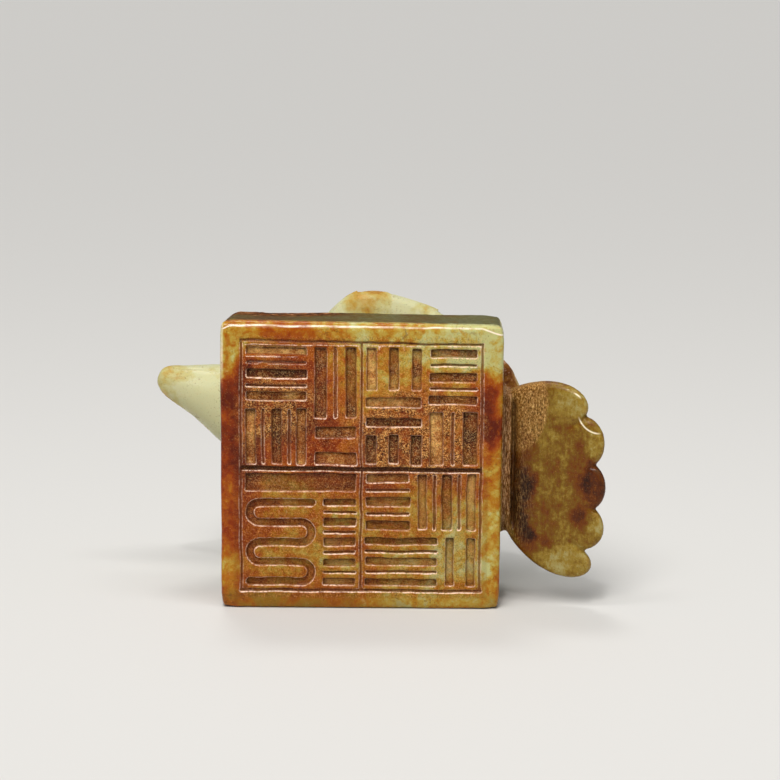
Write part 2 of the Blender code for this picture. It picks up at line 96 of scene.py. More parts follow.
# Tail
TAIL_LENGTH = 18.4
TAIL_ROOT_INSET = 3.0
TAIL_SIDE_STEP = 4.7
TAIL_ROOT_THICKNESS = 4.6
TAIL_EDGE_THICKNESS = 3.0
TAIL_FACE_CLEARANCE = 0.8
TAIL_ROOT_BACK = 7.4
TAIL_GROOVE = 0.8
TAIL_LINES_PER_LOBE = 24
TAIL_BAR_WIDTH = 2.7
TAIL_BAR_HEIGHT = 25.8
TAIL_BAR_SIDE_STEP = 1.6
TAIL_BAR_FRONT = 6.9
TAIL_BAR_INSET = 3.8
TAIL_BAR_BACK_REACH = 3.0
TAIL_BAR_SIDES = 48
TAIL_BAR_ROUNDNESS = 0.5
CREVICE_WIDTH = 0.6
CREVICE_DEPTH = 1.6
CREVICE_HEIGHT = 25.0

# Eyes
EYE_RADIUS = 1.7
EYE_STAND = 0.35
EYE_PLACE = -1.24
EYE_HEIGHT_SHARE = 0.76

# Mouth: shares of the head's reach, and the line's height there as shares of the bird's rise
MOUTH_LINE = ((1.42, 1.62, 1.82, 2.0), (0.72, 0.69, 0.69, 0.70))

# How far the block's top stands off true at its front left, front right, back left, back right
TOP_LIFT = (0.66, 0.0, 0.52, 0.08)
SIDE_FILL = 0.24
WEAR_REACH = (9.5, 4.5, 4.5)
WEAR_MIDDLE = (-BLOCK_WIDTH / 2 + WEAR_FROM_SIDE, BLOCK_DEPTH / 2, BLOCK_HEIGHT)
# Rounding of the top front edge at its left and right ends, and of the top's side edges
TOP_ROUNDING = (1.9, 1.1)
SIDE_ROUNDING = 1.6

SIDE_X = BLOCK_WIDTH / 2
FACE_Y = -BLOCK_DEPTH / 2
BACK_Y = BLOCK_DEPTH / 2
HALF_SPAN = (BLOCK_HEIGHT + WING_OVERHANG + WING_GROUND_OFF) / 2
MIDDLE_Z = HALF_SPAN - WING_GROUND_OFF

# The dressed head hangs lower than the solid's, to follow the photo
HEAD_DROP = 0.45

# Mesh
VOXEL = 0.34
FACE_CUTS = 2
MOST_TRIANGLES = 192000
SHARP_DEGREES = 48
DEGREES_PER_RADIAN = 57.3
FAR = 99.0

# The wing's skin is sampled on a grid to find the feather that a point lies on
SAMPLES_ALONG = 180
SAMPLES_ACROSS = 60
SKIN_LIFT = 0.35

# Down on the neck
DOWN_LENGTH = 2.1
DOWN_WIDTH = 2.4

# Shader bump, in metres, and studio; the photo is turned a little clockwise
BUMP_STRENGTH = 0.55
BUMP_DISTANCE = 0.00014
CAMERA_TILT = 9.7
CAMERA_ROLL = 0.45
OVERHEAD_PLACE = (0.0, -0.10, 0.46)
OVERHEAD_TARGET = (0.0, 0.0, 0.028)
OVERHEAD_SIZE = (0.42, 0.06)
OVERHEAD_POWER_WATTS = 0.8

TRUNK = (
    (-2.00, 0.356, 0.020, 0.70, 0.76), (-1.94, 0.356, 0.080, 0.64, 0.83),
    (-1.82, 0.340, 0.120, 0.60, 0.90), (-1.62, 0.300, 0.155, 0.56, 1.00),
    (-1.42, 0.255, 0.200, 0.52, 1.12), (-1.18, 0.184, 0.258, 0.46, 1.22),
    (-1.00, 0.145, 0.300, 0.37, 1.24), (-0.84, 0.100, 0.300, 0.20, 1.16),
    (-0.70, 0.065, 0.330, 0.00, 1.02), (-0.54, 0.030, 0.470, -0.10, 0.95),
    (-0.34, 0.010, 0.620, -0.12, 0.97), (-0.05, 0.000, 0.720, -0.12, 1.00),
    (0.25, -0.005, 0.740, -0.12, 0.98), (0.55, -0.020, 0.680, -0.12, 0.88),
    (0.85, -0.045, 0.550, -0.20, 0.68), (1.04, -0.060, 0.480, -0.29, 0.54),
    (1.12, -0.070, 0.440, -0.28, 0.46), (1.19, -0.080, 0.340, -0.18, 0.34),
    (1.24, -0.085, 0.200, -0.08, 0.24), (1.26, -0.086, 0.060, 0.02, 0.14),
)
WING = (
    (-0.56, 0.38, 0.46, 0.50, 0.48, 0.04), (-0.50, 0.34, 0.56, 0.66, 0.47, 0.12),
    (-0.40, 0.28, 0.70, 0.78, 0.46, 0.18), (-0.26, 0.24, 0.85, 0.86, 0.45, 0.21),
    (-0.13, 0.21, 0.955, 0.92, 0.44, 0.22), (0.00, 0.19, 1.00, 0.96, 0.43, 0.22),
    (0.20, 0.17, 0.985, 0.97, 0.41, 0.21), (0.43, 0.15, 0.920, 0.93, 0.37, 0.19),
    (0.60, 0.13, 0.855, 0.87, 0.32, 0.17), (0.82, 0.08, 0.730, 0.76, 0.25, 0.15),
    (1.04, 0.035, 0.600, 0.64, 0.18, 0.13), (1.17, 0.022, 0.400, 0.56, 0.15, 0.11),
    (1.26, 0.026, 0.190, 0.46, 0.19, 0.08), (1.30, 0.045, 0.100, 0.36, 0.24, 0.03),
)
FEATHER_ROWS = ((-0.12, -0.16), (0.16, 0.09), (0.62, 0.43))
WING_END = ((0.12, 0.15), (0.25, 0.25), (0.5, 0.45), (0.75, 0.5), (0.92, 0.4), (1.0, 0.0))
FEATHER_TIP_REACH = 0.11
NOTCH_ANGLES = (74.2, 34.3, 10.9, -11.7, -33.0, -63.2)
NOTCH_REACH = (0.772, 1.012, 0.937, 0.944, 0.986, 0.508)
LOBE_BULGE = (0.178, 0.115, 0.086, 0.130, 0.330)
LOBE_SKEW = (1.75, 1.0, 1.0, 1.0, 0.85)
LOBE_FULLNESS = 0.55
TAIL_RIM = (
    (0.955, 0.02), (0.978, 0.10), (0.993, 0.26), (1.0, 0.5),
    (0.993, 0.74), (0.978, 0.90), (0.955, 0.98),
)
TAIL_BAR_STATIONS = (
    (-1.00, 0.62), (-0.97, 0.83), (-0.90, 0.97), (-0.78, 1.00),
    (0.78, 1.00), (0.90, 0.97), (0.97, 0.83), (1.00, 0.62),
)

# Strokes on the face: field, box in shares of it, count, way, thin lines between
PANELS = (
    ("upper left", (0.00, 0.55, 0.55, 1.00), 3, "across", True),
    ("upper left", (0.62, 1.00, 0.40, 1.00), 2, "up", True),
    ("upper left", (0.00, 0.55, 0.00, 0.48), 3, "up", True),
    ("upper left", (0.62, 1.00, 0.00, 0.33), 2, "across", False),
    ("upper right", (0.00, 0.50, 0.64, 1.00), 3, "up", False),
    ("upper right", (0.57, 1.00, 0.52, 1.00), 3, "across", True),
    ("upper right", (0.00, 0.50, 0.32, 0.58), 2, "across", False),
    ("upper right", (0.57, 1.00, 0.00, 0.46), 2, "up", True),
    ("upper right", (0.00, 0.50, 0.00, 0.26), 3, "up", False),
    ("lower left", (0.00, 1.00, 0.84, 1.00), 1, "across", False),
    ("lower left", (0.70, 1.00, 0.00, 0.78), 5, "across", True),
    ("lower right", (0.00, 0.40, 0.50, 1.00), 3, "across", True),
    ("lower right", (0.47, 1.00, 0.50, 1.00), 3, "up", True),
    ("lower right", (0.00, 0.66, 0.00, 0.44), 3, "across", True),
    ("lower right", (0.73, 1.00, 0.00, 0.44), 2, "up", False),
)
WIDE_FILL = 0.40
CLOSE_FILL = 0.46
WINDING_BOX = (0.00, 0.63, 0.00, 0.78)
WINDING_RUNS = 5
WINDING_FILL = 0.42

# Stains: pattern, centre, radii, inner share, and how much redder (or, below 0, paler);
# those on the block run all the way through it
ANY = 60.0
BLOCK_STAINS = [("warped", (x, -7, z), (wide, ANY, tall), 0.25, by) for x, z, wide, tall, by in (
    (-14, 37, 15, 16, 0.50), (-21, 20, 8, 19, 0.42), (-25, 35, 7, 11, 0.26),
    (-23, 41, 5, 6, 0.32), (-4, 27, 24, 9, 0.36), (11, 30, 17, 11, 0.30),
    (4, 16, 14, 9, 0.10), (22.5, 35, 5, 9, 0.62), (-16, 50, 6, 4.0, 0.12),
    (-19, 2, 12, 8, 0.16), (-4, 2, 12, 6, 0.16), (-26, 50, 3.4, 5, -0.30),
    (19, 47, 14, 9, -0.38), (3, 50, 9, 3.0, -0.22), (23, 14, 5, 13, -0.16),
    (14, 9, 12, 8, -0.12), (12, 1, 15, 5, -0.20),
)]
BIRD_STAINS = (
    ("warped", (26, 12, 42), (7, 14, 12), 0.25, 0.65),
    ("warped", (-38, 22, 36), (5, 12, 6), 0.25, 0.14),
    ("warped", (-28, 22, 33), (8, 14, 9), 0.25, -0.22),
    ("ragged", (-0.5, 18, 53), (6.5, 14, 6), 0.4, 0.38),
    ("straight", (-6, 18, 53), (4, 14, 6), 0.25, -0.20),
    ("straight", (12, 18, 52), (9, 14, 5), 0.25, -0.20),
    ("warped", (14, 20, 24), (16, 20, 18), 0.25, 0.16),
)
TAIL_STAINS = (
    ("warped", (27.8, -2, 19), (4.4, 9, 14), 0.4, 0.60),
    ("ragged", (42.5, -5, 22.5), (4.6, 9, 5.6), 0.5, 0.34),
    ("ragged", (38.6, -5, 24.0), (3.0, 9, 9), 0.25, 0.16),
    ("ragged", (42.2, -5, 15.5), (3.2, 9, 3.4), 0.5, -0.17),
    ("ragged", (38.6, -5, 16.2), (2.6, 9, 3.6), 0.25, 0.28),
    ("warped", (31.0, -5, 11), (4.5, 9, 4), 0.25, 0.26),
    ("warped", (41, -5, 31), (5, 9, 5), 0.25, -0.16),
    ("warped", (38, -5, 8), (8, 9, 5.5), 0.4, -0.22),
    ("ragged", (37, -4, 37), (7, 9, 4.5), 0.25, -0.30),
)


# Forms

def smooth_table(rows, place):
    """Read a table of stations at any place along it, on a smooth curve."""
    last = len(rows) - 1
    if place <= rows[0][0]:
        return rows[0][1:]
    if place >= rows[last][0]:
        return rows[last][1:]
    index = 0
    while rows[index + 1][0] < place:
        index += 1
    before = rows[max(index - 1, 0)]
    start = rows[index]
    end = rows[index + 1]
    after = rows[min(index + 2, last)]
    span = end[0] - start[0]
    t = (place - start[0]) / span
    return [
        (2 * t**3 - 3 * t**2 + 1) * s
        + (t**3 - 2 * t**2 + t) * ((e - b) / (end[0] - before[0]) * span)
        + (3 * t**2 - 2 * t**3) * e
        + (t**3 - t**2) * ((a - s) / (after[0] - start[0]) * span)
        for b, s, e, a in zip(before[1:], start[1:], end[1:], after[1:])
    ]


def along_x(share):
    if share < -1.0:
        return -SIDE_X + (share + 1.0) * HEAD_REACH
    return share * SIDE_X


def round_places(sides, offset, exponent):
    """Places round a ring, from -1 to 1 on both axes; a lower exponent makes it squarer."""
    angles = [2 * math.pi * (side + offset) / sides for side in range(sides)]
    pairs = [(math.cos(angle), math.sin(angle)) for angle in angles]
    return [[math.copysign(abs(value) ** exponent, value) for value in pair] for pair in pairs]


def loft(bm, rings):
    """Close a row of equal-sized rings into one body, with a cap at each end."""
    rows = [[bm.verts.new(point) for point in ring] for ring in rings]
    count = len(rows[0])
    made = []
    for near, far in zip(rows, rows[1:]):
        for i in range(count):
            j = (i + 1) % count
            made.append(bm.faces.new((near[i], near[j], far[j], far[i])))
    made += [bm.faces.new(rows[0]), bm.faces.new(rows[-1])]
    bmesh.ops.recalc_face_normals(bm, faces=made)


def add_block(bm):
    verts = bmesh.ops.create_cube(bm, size=1.0)['verts']
    for vert in verts:
        up = vert.co.z + 0.5
        flare = BLOCK_FLARE * up
        vert.co = (vert.co.x * (BLOCK_WIDTH + flare), vert.co.y * BLOCK_DEPTH, up * BLOCK_HEIGHT)
    edges = list({edge for vert in verts for edge in vert.link_edges})
    bmesh.ops.bevel(bm, geom=edges, offset=BLOCK_EDGE, segments=5, profile=0.5, affect='EDGES')


def add_trunk(bm):
    rings = []
    first = TRUNK[0][0]
    last = TRUNK[-1][0]
    for index in range(TRUNK_STATIONS):
        step = index / (TRUNK_STATIONS - 1)
        eased = step - 0.11 * math.sin(2 * math.pi * step) / math.pi
        share = first + (last - first) * eased
        shift, half_width, low, high = smooth_table(TRUNK, share)
        centre_y = BACK_Y + (low + high) / 2 * BIRD_RISE
        half_height = (high - low) / 2 * BIRD_RISE
        x = along_x(share)
        rings.append([
            (x, centre_y + half_height * b, MIDDLE_Z + HALF_SPAN * (shift + half_width * a))
            for a, b in round_places(TRUNK_SIDES, 0, TRUNK_ROUNDNESS)
        ])
    loft(bm, rings)


def feather_place(across, row):
    """Where a point lies on its feather, from -1 at one side to 1 at the other."""
    shifted = across * FEATHER_COLUMNS + 0.5 * (row % 2)
    return 2 * (shifted - np.floor(shifted)) - 1


def row_end(row, across):
    inner, outer = FEATHER_ROWS[row]
    place = feather_place(across, row)
    tip = np.maximum(0.0, 1 - place * place) ** 0.7
    return inner + (outer - inner) * across + FEATHER_TIP_REACH * tip


def wing_stations(across):
    """Places along X on one line of the wing, each with the feather's height there."""
    first = WING[0][0]
    last = WING[-1][0]
    start = first + 0.24
    places = [(first, 0.0), (first + 0.05, 0.0), (first + 0.13, 0.1), (start, 0.25)]
    for row in range(len(FEATHER_ROWS)):
        end = float(row_end(row, across))
        for step in (0.25, 0.5, 0.75):
            places.append((start + (end - start) * step, (0.9 if row else 0.75) * step + 0.1))
        start = end + SMALL_GAP
        places += [(end, 1.0), (start, 0.05)]
    return places + [(start + (last - start) * share, height) for share, height in WING_END]


def crown(across, row):
    """Each feather stands highest along its middle."""
    place = feather_place(across, row)
    return 0.45 + 0.55 * (1 - place * place)


def wing_point(share, across, lift, under):
    """A point of the wing's skin, with its distance from the bird's middle as z."""
    inner, outer, inner_height, edge_height, thickness = smooth_table(WING, share)
    angle = across * math.pi / 2
    reach = (outer - inner) * HALF_SPAN
    if under:
        drop = thickness * BIRD_RISE
        y = BACK_Y + edge_height * BIRD_RISE - drop * math.cos(angle) ** 0.8
        return along_x(share), y, inner * HALF_SPAN + reach * math.sin(angle)
    rise = (inner_height - edge_height) * BIRD_RISE
    normal_y = math.cos(angle) * reach
    normal_z = math.sin(angle) * rise
    size = math.hypot(normal_y, normal_z) or 1.0
    y = BACK_Y + edge_height * BIRD_RISE + rise * math.cos(angle) + lift * normal_y / size
    z = inner * HALF_SPAN + reach * math.sin(angle) + lift * normal_z / size
    return along_x(share), y, z


def add_wing(bm, side):
    lines = FEATHER_COLUMNS * LINES_PER_FEATHER
    columns = []
    for line in range(lines + 1):
        across = line / lines
        edge_fade = max(0.0, math.sin(math.pi * (1 - across) / 2)) ** 0.35
        column = []
        for index, (share, height) in enumerate(wing_stations(across)):
            row = min(max((index - 4) // STATIONS_PER_ROW, 0), len(FEATHER_ROWS))
            lift = FEATHER_STEP * height * crown(across, row) * edge_fade
            column.append(wing_point(share, across, lift, False))
        columns.append(column)
    for across in (0.85, 0.7, 0.5, 0.3, 0.15, 0.0):
        columns.append([wing_point(share, across, 0.0, True) for share, _ in wing_stations(1.0)])
    loft(bm, [[(x, y, MIDDLE_Z + side * z) for x, y, z in ring] for ring in zip(*columns)])


def lobe_at(angle):
    """The tail's lobe that an angle lies in, and how far along the lobe, from 0 to 1."""
    lobe = 0
    while lobe < len(LOBE_BULGE) - 1 and angle < NOTCH_ANGLES[lobe + 1]:
        lobe += 1
    upper, lower = NOTCH_ANGLES[lobe:lobe + 2]
    return lobe, min(max((upper - angle) / (upper - lower), 0.0), 1.0)


def tail_reach(lobe, t):
    base = NOTCH_REACH[lobe] + (NOTCH_REACH[lobe + 1] - NOTCH_REACH[lobe]) * t
    bulge = LOBE_BULGE[lobe] * max(0.0, math.sin(math.pi * t ** LOBE_SKEW[lobe])) ** LOBE_FULLNESS
    return (TAIL_LENGTH + TAIL_ROOT_INSET) * (base + bulge)


def tail_angles():
    angles = []
    for upper, lower in zip(NOTCH_ANGLES, NOTCH_ANGLES[1:]):
        for step in range(TAIL_LINES_PER_LOBE):
            t = (1 - math.cos(math.pi * step / TAIL_LINES_PER_LOBE)) / 2
            angles.append(upper + (lower - upper) * t)
    angles.append(NOTCH_ANGLES[-1])
    return angles


def add_tail(bm):
    root_z = MIDDLE_Z - TAIL_SIDE_STEP
    root_y = FACE_Y + TAIL_ROOT_BACK
    drop = TAIL_ROOT_BACK - TAIL_FACE_CLEARANCE
    under = [0.10 + 0.82 * step / 12 for step in range(13)]
    profile = [(share, 0.0) for share in under] + list(TAIL_RIM)
    profile += [(share, 1.0) for share in reversed(under)]
    rings = []
    for angle in tail_angles():
        lobe, along = lobe_at(angle)
        reach = tail_reach(lobe, along)
        groove = TAIL_GROOVE * (1 - max(0.0, math.sin(math.pi * along)) ** 0.6)
        direction = math.radians(angle)
        ring = []
        for share, through in profile:
            across = share * reach * math.cos(direction) - TAIL_ROOT_INSET
            fall = across / TAIL_LENGTH
            thickness = TAIL_ROOT_THICKNESS + (TAIL_EDGE_THICKNESS - TAIL_ROOT_THICKNESS) * fall
            y = root_y - drop * fall + thickness * through
            if through == 1.0:
                y -= groove * min(1.0, share * 1.6)
            ring.append((SIDE_X + across, y, root_z + share * reach * math.sin(direction)))
        rings.append(ring)
    loft(bm, rings)


def add_tail_bar(bm):
    half_width = (TAIL_BAR_WIDTH + TAIL_BAR_INSET) / 2
    half_depth = (BLOCK_DEPTH - TAIL_BAR_FRONT + TAIL_BAR_BACK_REACH) / 2
    centre_x = SIDE_X + TAIL_BAR_WIDTH - half_width
    centre_y = FACE_Y + TAIL_BAR_FRONT + half_depth
    centre_z = MIDDLE_Z - TAIL_BAR_SIDE_STEP
    loft(bm, [[
        (centre_x + half_width * size * a, centre_y + half_depth * size * b,
         centre_z + place * TAIL_BAR_HEIGHT / 2)
        for a, b in round_places(TAIL_BAR_SIDES, 0.5, TAIL_BAR_ROUNDNESS)
    ] for place, size in TAIL_BAR_STATIONS])


def eye_centre(side):
    shift, half_width, low, high = smooth_table(TRUNK, EYE_PLACE)
    lift = 2 * EYE_HEIGHT_SHARE - 1
    local_half = half_width * (1 - lift * lift) ** 0.5
    stand = local_half * HALF_SPAN - EYE_RADIUS + EYE_STAND
    y = BACK_Y + (low + (high - low) * EYE_HEIGHT_SHARE) * BIRD_RISE
    return along_x(EYE_PLACE), y, MIDDLE_Z + shift * HALF_SPAN + side * stand


def add_eye(bm, side):
    made = bmesh.ops.create_uvsphere(bm, u_segments=24, v_segments=16, radius=EYE_RADIUS)
    centre = eye_centre(side)
    for vert in made['verts']:
        vert.co = [place + shift for place, shift in zip(vert.co, centre)]


def applied(made):
    bpy.context.view_layer.update()
    graph = bpy.context.evaluated_depsgraph_get()
    return bpy.data.meshes.new_from_object(made.evaluated_get(graph))


def linked(name, data):
    made = bpy.data.objects.new(name, data)
    bpy.context.scene.collection.objects.link(made)
    return made


def joined_body():
    """All forms in one mesh, made into one skin by a voxel remesh."""
    bm = bmesh.new()
    add_block(bm)
    add_trunk(bm)
    add_wing(bm, 1)
    add_wing(bm, -1)
    add_tail_bar(bm)
    add_tail(bm)
    add_eye(bm, 1)
    add_eye(bm, -1)
    mesh = bpy.data.meshes.new("forms")
    bm.to_mesh(mesh)
    bm.free()
    made = linked("forms", mesh)
    remesh = made.modifiers.new("one skin", 'REMESH')
    remesh.mode = 'VOXEL'
    remesh.voxel_size = VOXEL
    skin = applied(made)
    bpy.data.objects.remove(made)
    return skin


# Reading, writing and easing points

def read(items, name, width, kind=float):
    values = np.empty(len(items) * width, dtype=kind)
    items.foreach_get(name, values)
    return values.reshape(-1, width)


def write_points(mesh, points):
    mesh.vertices.foreach_set("co", points.ravel())
    mesh.update()


def relax(points, edges, weight, rounds):
    near, far = edges.T
    count = np.bincount(edges.ravel(), minlength=len(points))
    for _ in range(rounds):
        average = np.empty_like(points)
        for axis in range(3):
            total = np.bincount(near, weights=points[far, axis], minlength=len(points))
            total += np.bincount(far, weights=points[near, axis], minlength=len(points))
            average[:, axis] = total / count
        points = points + (average - points) * weight[:, None]
    return points


LATTICE = np.random.RandomState(11).rand(32, 32, 32) * 2 - 1


def noise(points, size, offset=0.0):
    """Smooth noise from -1 to 1 whose cells are size mm; size may differ per axis."""
    place = points / np.asarray(size) + offset + 512.0
    cell = np.floor(place).astype(np.int64)
    part = place - cell
    part = part * part * (3 - 2 * part)
    near = cell & 31
    far = (cell + 1) & 31
    total = np.zeros(len(points))
    for corner in range(8):
        picks = []
        weight = np.ones(len(points))
        for axis in range(3):
            high = corner >> axis & 1
            picks.append((far if high else near)[:, axis])
            weight = weight * (part[:, axis] if high else 1 - part[:, axis])
        total += weight * LATTICE[picks[0], picks[1], picks[2]]
    return total


def layered(points, size, octaves, offset=0.0):
    total = np.zeros(len(points))
    for octave in range(octaves):
        total += noise(points, np.asarray(size) / 2**octave, offset + 7.3 * octave) / 2**octave
    return total


def ease(value, low, high):
    """0 below low, 1 above high, smooth between."""
    t = np.clip((value - low) / (high - low), 0, 1)
    return t * t * (3 - 2 * t)


def fade(value, low, high):
    return 1 - ease(value, low, high)


def bell(value, width):
    return np.exp(-((value / width) ** 2))


# Carving on the face

def face_lines():
    left = -SIDE_X + FACE_MARGIN
    right = SIDE_X - FACE_MARGIN
    low = FACE_MARGIN
    high = BLOCK_HEIGHT - FACE_MARGIN
    middle_x = left + (right - left) * LEFT_FIELD_SHARE
    middle_z = low + (high - low) * (1 - UPPER_FIELD_SHARE)
    return left, middle_x, right, low, middle_z, high


def field_box(field, shares):
    left, middle_x, right, low, middle_z, high = face_lines()
    x0, x1 = (left, middle_x) if "left" in field else (middle_x, right)
    z0, z1 = (middle_z, high) if "upper" in field else (low, middle_z)
    found = []
    for start, end, parts in ((x0, x1, shares[:2]), (z0, z1, shares[2:])):
        start, end = start + FIELD_MARGIN, end - FIELD_MARGIN
        found += [start + (end - start) * part for part in parts]
    return found


def all_strokes():
    """Every straight stroke: x0, x1, z0, z1, depth, and whether it runs across."""
    left, middle_x, right, low, middle_z, high = face_lines()
    line = LINE_WIDTH / 2
    wide = DIVIDER_WIDTH / 2
    found = [
        *((left - line, right + line, z - line, z + line, LINE_DEPTH, True) for z in (low, high)),
        *((x - line, x + line, low - line, high + line, LINE_DEPTH, False) for x in (left, right)),
        (middle_x - line, middle_x + line, low, high, LINE_DEPTH, False),
        (left, right, middle_z - wide, middle_z + wide, DIVIDER_DEPTH, True),
    ]
    for field, shares, count, way, with_lines in PANELS:
        x0, x1, z0, z1 = field_box(field, shares)
        across = way == "across"
        start, end = (z0, z1) if across else (x0, x1)
        fill = WIDE_FILL if with_lines else CLOSE_FILL
        pitch = (end - start) / (count - 1 + fill)
        width = pitch * fill
        bands = []
        for index in range(count):
            base = start + pitch * index
            bands.append((base, base + width, STROKE_DEPTH))
            if with_lines and index < count - 1:
                middle = base + (pitch + width) / 2
                bands.append((middle - line, middle + line, LINE_DEPTH))
        for lower, upper, depth in bands:
            box = (x0, x1, lower, upper) if across else (lower, upper, z0, z1)
            found.append((*box, depth, across))
    return found


def winding_path():
    x0, x1, z0, z1 = field_box("lower left", WINDING_BOX)
    pitch = (z1 - z0) / (WINDING_RUNS - 1 + WINDING_FILL)
    width = pitch * WINDING_FILL
    turn = pitch / 2
    left = x0 + turn + width / 2
    right = x1 - turn - width / 2
    path = []
    for run in range(WINDING_RUNS):
        z = z0 + width / 2 + pitch * run
        rightward = run % 2 == 0
        start, end = (left, right) if rightward else (right, left)
        bend = 1 if rightward else -1
        if run == 0:
            start -= turn
        if run == WINDING_RUNS - 1:
            end += bend * turn
        path.append((start, z))
        path.append((end, z))
        if run == WINDING_RUNS - 1:
            continue
        for step in range(1, 10):
            angle = -math.pi / 2 + math.pi * step / 10
            path.append((end + bend * turn * math.cos(angle), z + turn + turn * math.sin(angle)))
    return path, width


def wall(inside, depth):
    """Depth of a stroke at a distance inside its edge: a worn lip, then a steep wall."""
    t = np.clip(inside / (STROKE_WALL * (0.6 + 0.4 * depth)), 0, 1)
    lip = STROKE_LIP * ease(inside, -0.38, 0.0) * min(depth, 0.8)
    return lip + (depth - STROKE_LIP) * (0.6 * t + 0.4 * t * t * (3 - 2 * t))


def rims(outside, side, end, strength):
    """Nearness to a stroke's rim, its chalk and painted highlight, and the painted shade inside it."""
    above = ease(side, -0.1, 0.5)
    # chalk with a painted highlight, strongest on the lower rim; painted shade, strongest under the
    # upper rim
    chalk_and_highlight = 0.20 + 0.80 * ease(-side, -0.1, 0.5) + 0.28 * end - 0.16 * above
    dark = bell(outside + 0.18, 0.14) * (0.20 + 0.80 * above)
    return bell(outside + 0.02, 0.15), strength * np.clip(chalk_and_highlight, 0, 1), dark


def carving(points):
    """Depth of the cut at each point, its rims, their chalk and painted highlight, painted shade,
    floor tone.
    """
    flat = points * np.array((1.0, 0.0, 1.0))
    x = points[:, 0] + 0.13 * noise(flat, 4.2, 3.1) + 0.06 * noise(flat, 0.9, 9.2)
    z = points[:, 2] + 0.13 * noise(flat, 4.2, 17.4) + 0.06 * noise(flat, 0.9, 5.8)
    streak_across = noise(flat, (2.6, 1.0, 0.30), 2.2)
    streak_up = noise(flat, (0.30, 1.0, 2.6), 6.1)
    grain = layered(flat, 0.7, 3, 1.7)
    deepest, rim, chalk_and_highlight, shade = np.zeros((4, len(points)))
    tone = np.full(len(points), 0.5)
    chance = np.random.RandomState(5)
    for x0, x1, z0, z1, depth, across in all_strokes():
        shift = chance.uniform(-0.12, 0.12, 4)
        tilt = chance.uniform(-0.010, 0.010)
        if depth != STROKE_DEPTH:
            shift = shift * 0.4
            tilt = tilt * 0.5
        depth = depth * chance.uniform(0.82, 1.0)
        x0, x1, z0, z1 = np.array((x0, x1, z0, z1)) + shift
        near = (x > x0 - 0.8) & (x < x1 + 0.8) & (z > z0 - 0.8) & (z < z1 + 0.8)
        if not near.any():
            continue
        half_x, half_z = (x1 - x0) / 2, (z1 - z0) / 2
        u = x[near] - (x0 + x1) / 2
        v = z[near] - (z0 + z1) / 2
        u, v = (u, v + tilt * u) if across else (u + tilt * v, v)
        corner = min(0.32, half_x - 0.02, half_z - 0.02)
        qx = np.abs(u) - (half_x - corner)
        qz = np.abs(v) - (half_z - corner)
        outside = np.hypot(np.maximum(qx, 0), np.maximum(qz, 0))
        outside = outside + np.minimum(np.maximum(qx, qz), 0) - corner
        cut = wall(-outside, depth)
        streak = (streak_across if across else streak_up)[near]
        cut = cut + ease(cut / depth, 0.7, 1.0) * (0.10 * streak + 0.05 * grain[near])
        past_x, past_z = np.abs(u) - half_x, np.abs(v) - half_z
        side = np.sign(v) * ease(past_z, -0.5, -0.1)
        end = ease(past_x if across else past_z, -0.5, -0.1)
        strength = chance.uniform(0.35, 1.0) if depth > 0.5 else 1.0
        edge, bright, dark = rims(outside, side, end, strength)
        edge = edge * fade(deepest[near], 0.10, 0.35)
        left = rim[near] * fade(cut, 0.15, 0.45)
        chalk_and_highlight[near] = np.where(edge > left, bright, chalk_and_highlight[near])
        rim[near] = np.maximum(left, edge)
        shade[near] = np.maximum(shade[near], dark * (1.0 if depth > 0.6 else 0.40))
        tone[near] = np.where(cut > deepest[near] + 0.02, chance.uniform(0.0, 1.0), tone[near])
        deepest[near] = np.maximum(deepest[near], cut)
    path, width = winding_path()
    x0, x1, z0, z1 = field_box("lower left", WINDING_BOX)
    near = (x > x0 - 1) & (x < x1 + 1) & (z > z0 - 1) & (z < z1 + 1)
    closest = np.full(int(near.sum()), FAR)
    for (ax, az), (bx, bz) in zip(path, path[1:]):
        u, v = bx - ax, bz - az
        t = np.clip(((x[near] - ax) * u + (z[near] - az) * v) / (u * u + v * v), 0, 1)
        closest = np.minimum(closest, np.hypot(x[near] - ax - t * u, z[near] - az - t * v))
    cut = wall(width / 2 - closest, STROKE_DEPTH * 0.92)
    cut = cut + ease(cut, 0.6, 0.9) * (0.08 * streak_across[near] + 0.09 * grain[near])
    edge, bright, dark = rims(closest - width / 2, np.zeros(len(closest)), 0.9, 0.9)
    chalk_and_highlight[near] = np.where(edge > rim[near], bright, chalk_and_highlight[near])
    rim[near] = np.maximum(rim[near], edge)
    shade[near] = np.maximum(shade[near], dark)
    deepest[near] = np.maximum(deepest[near], cut)
    return deepest, rim, chalk_and_highlight, shade, tone


# Wings: the feather that each point of the skin lies on

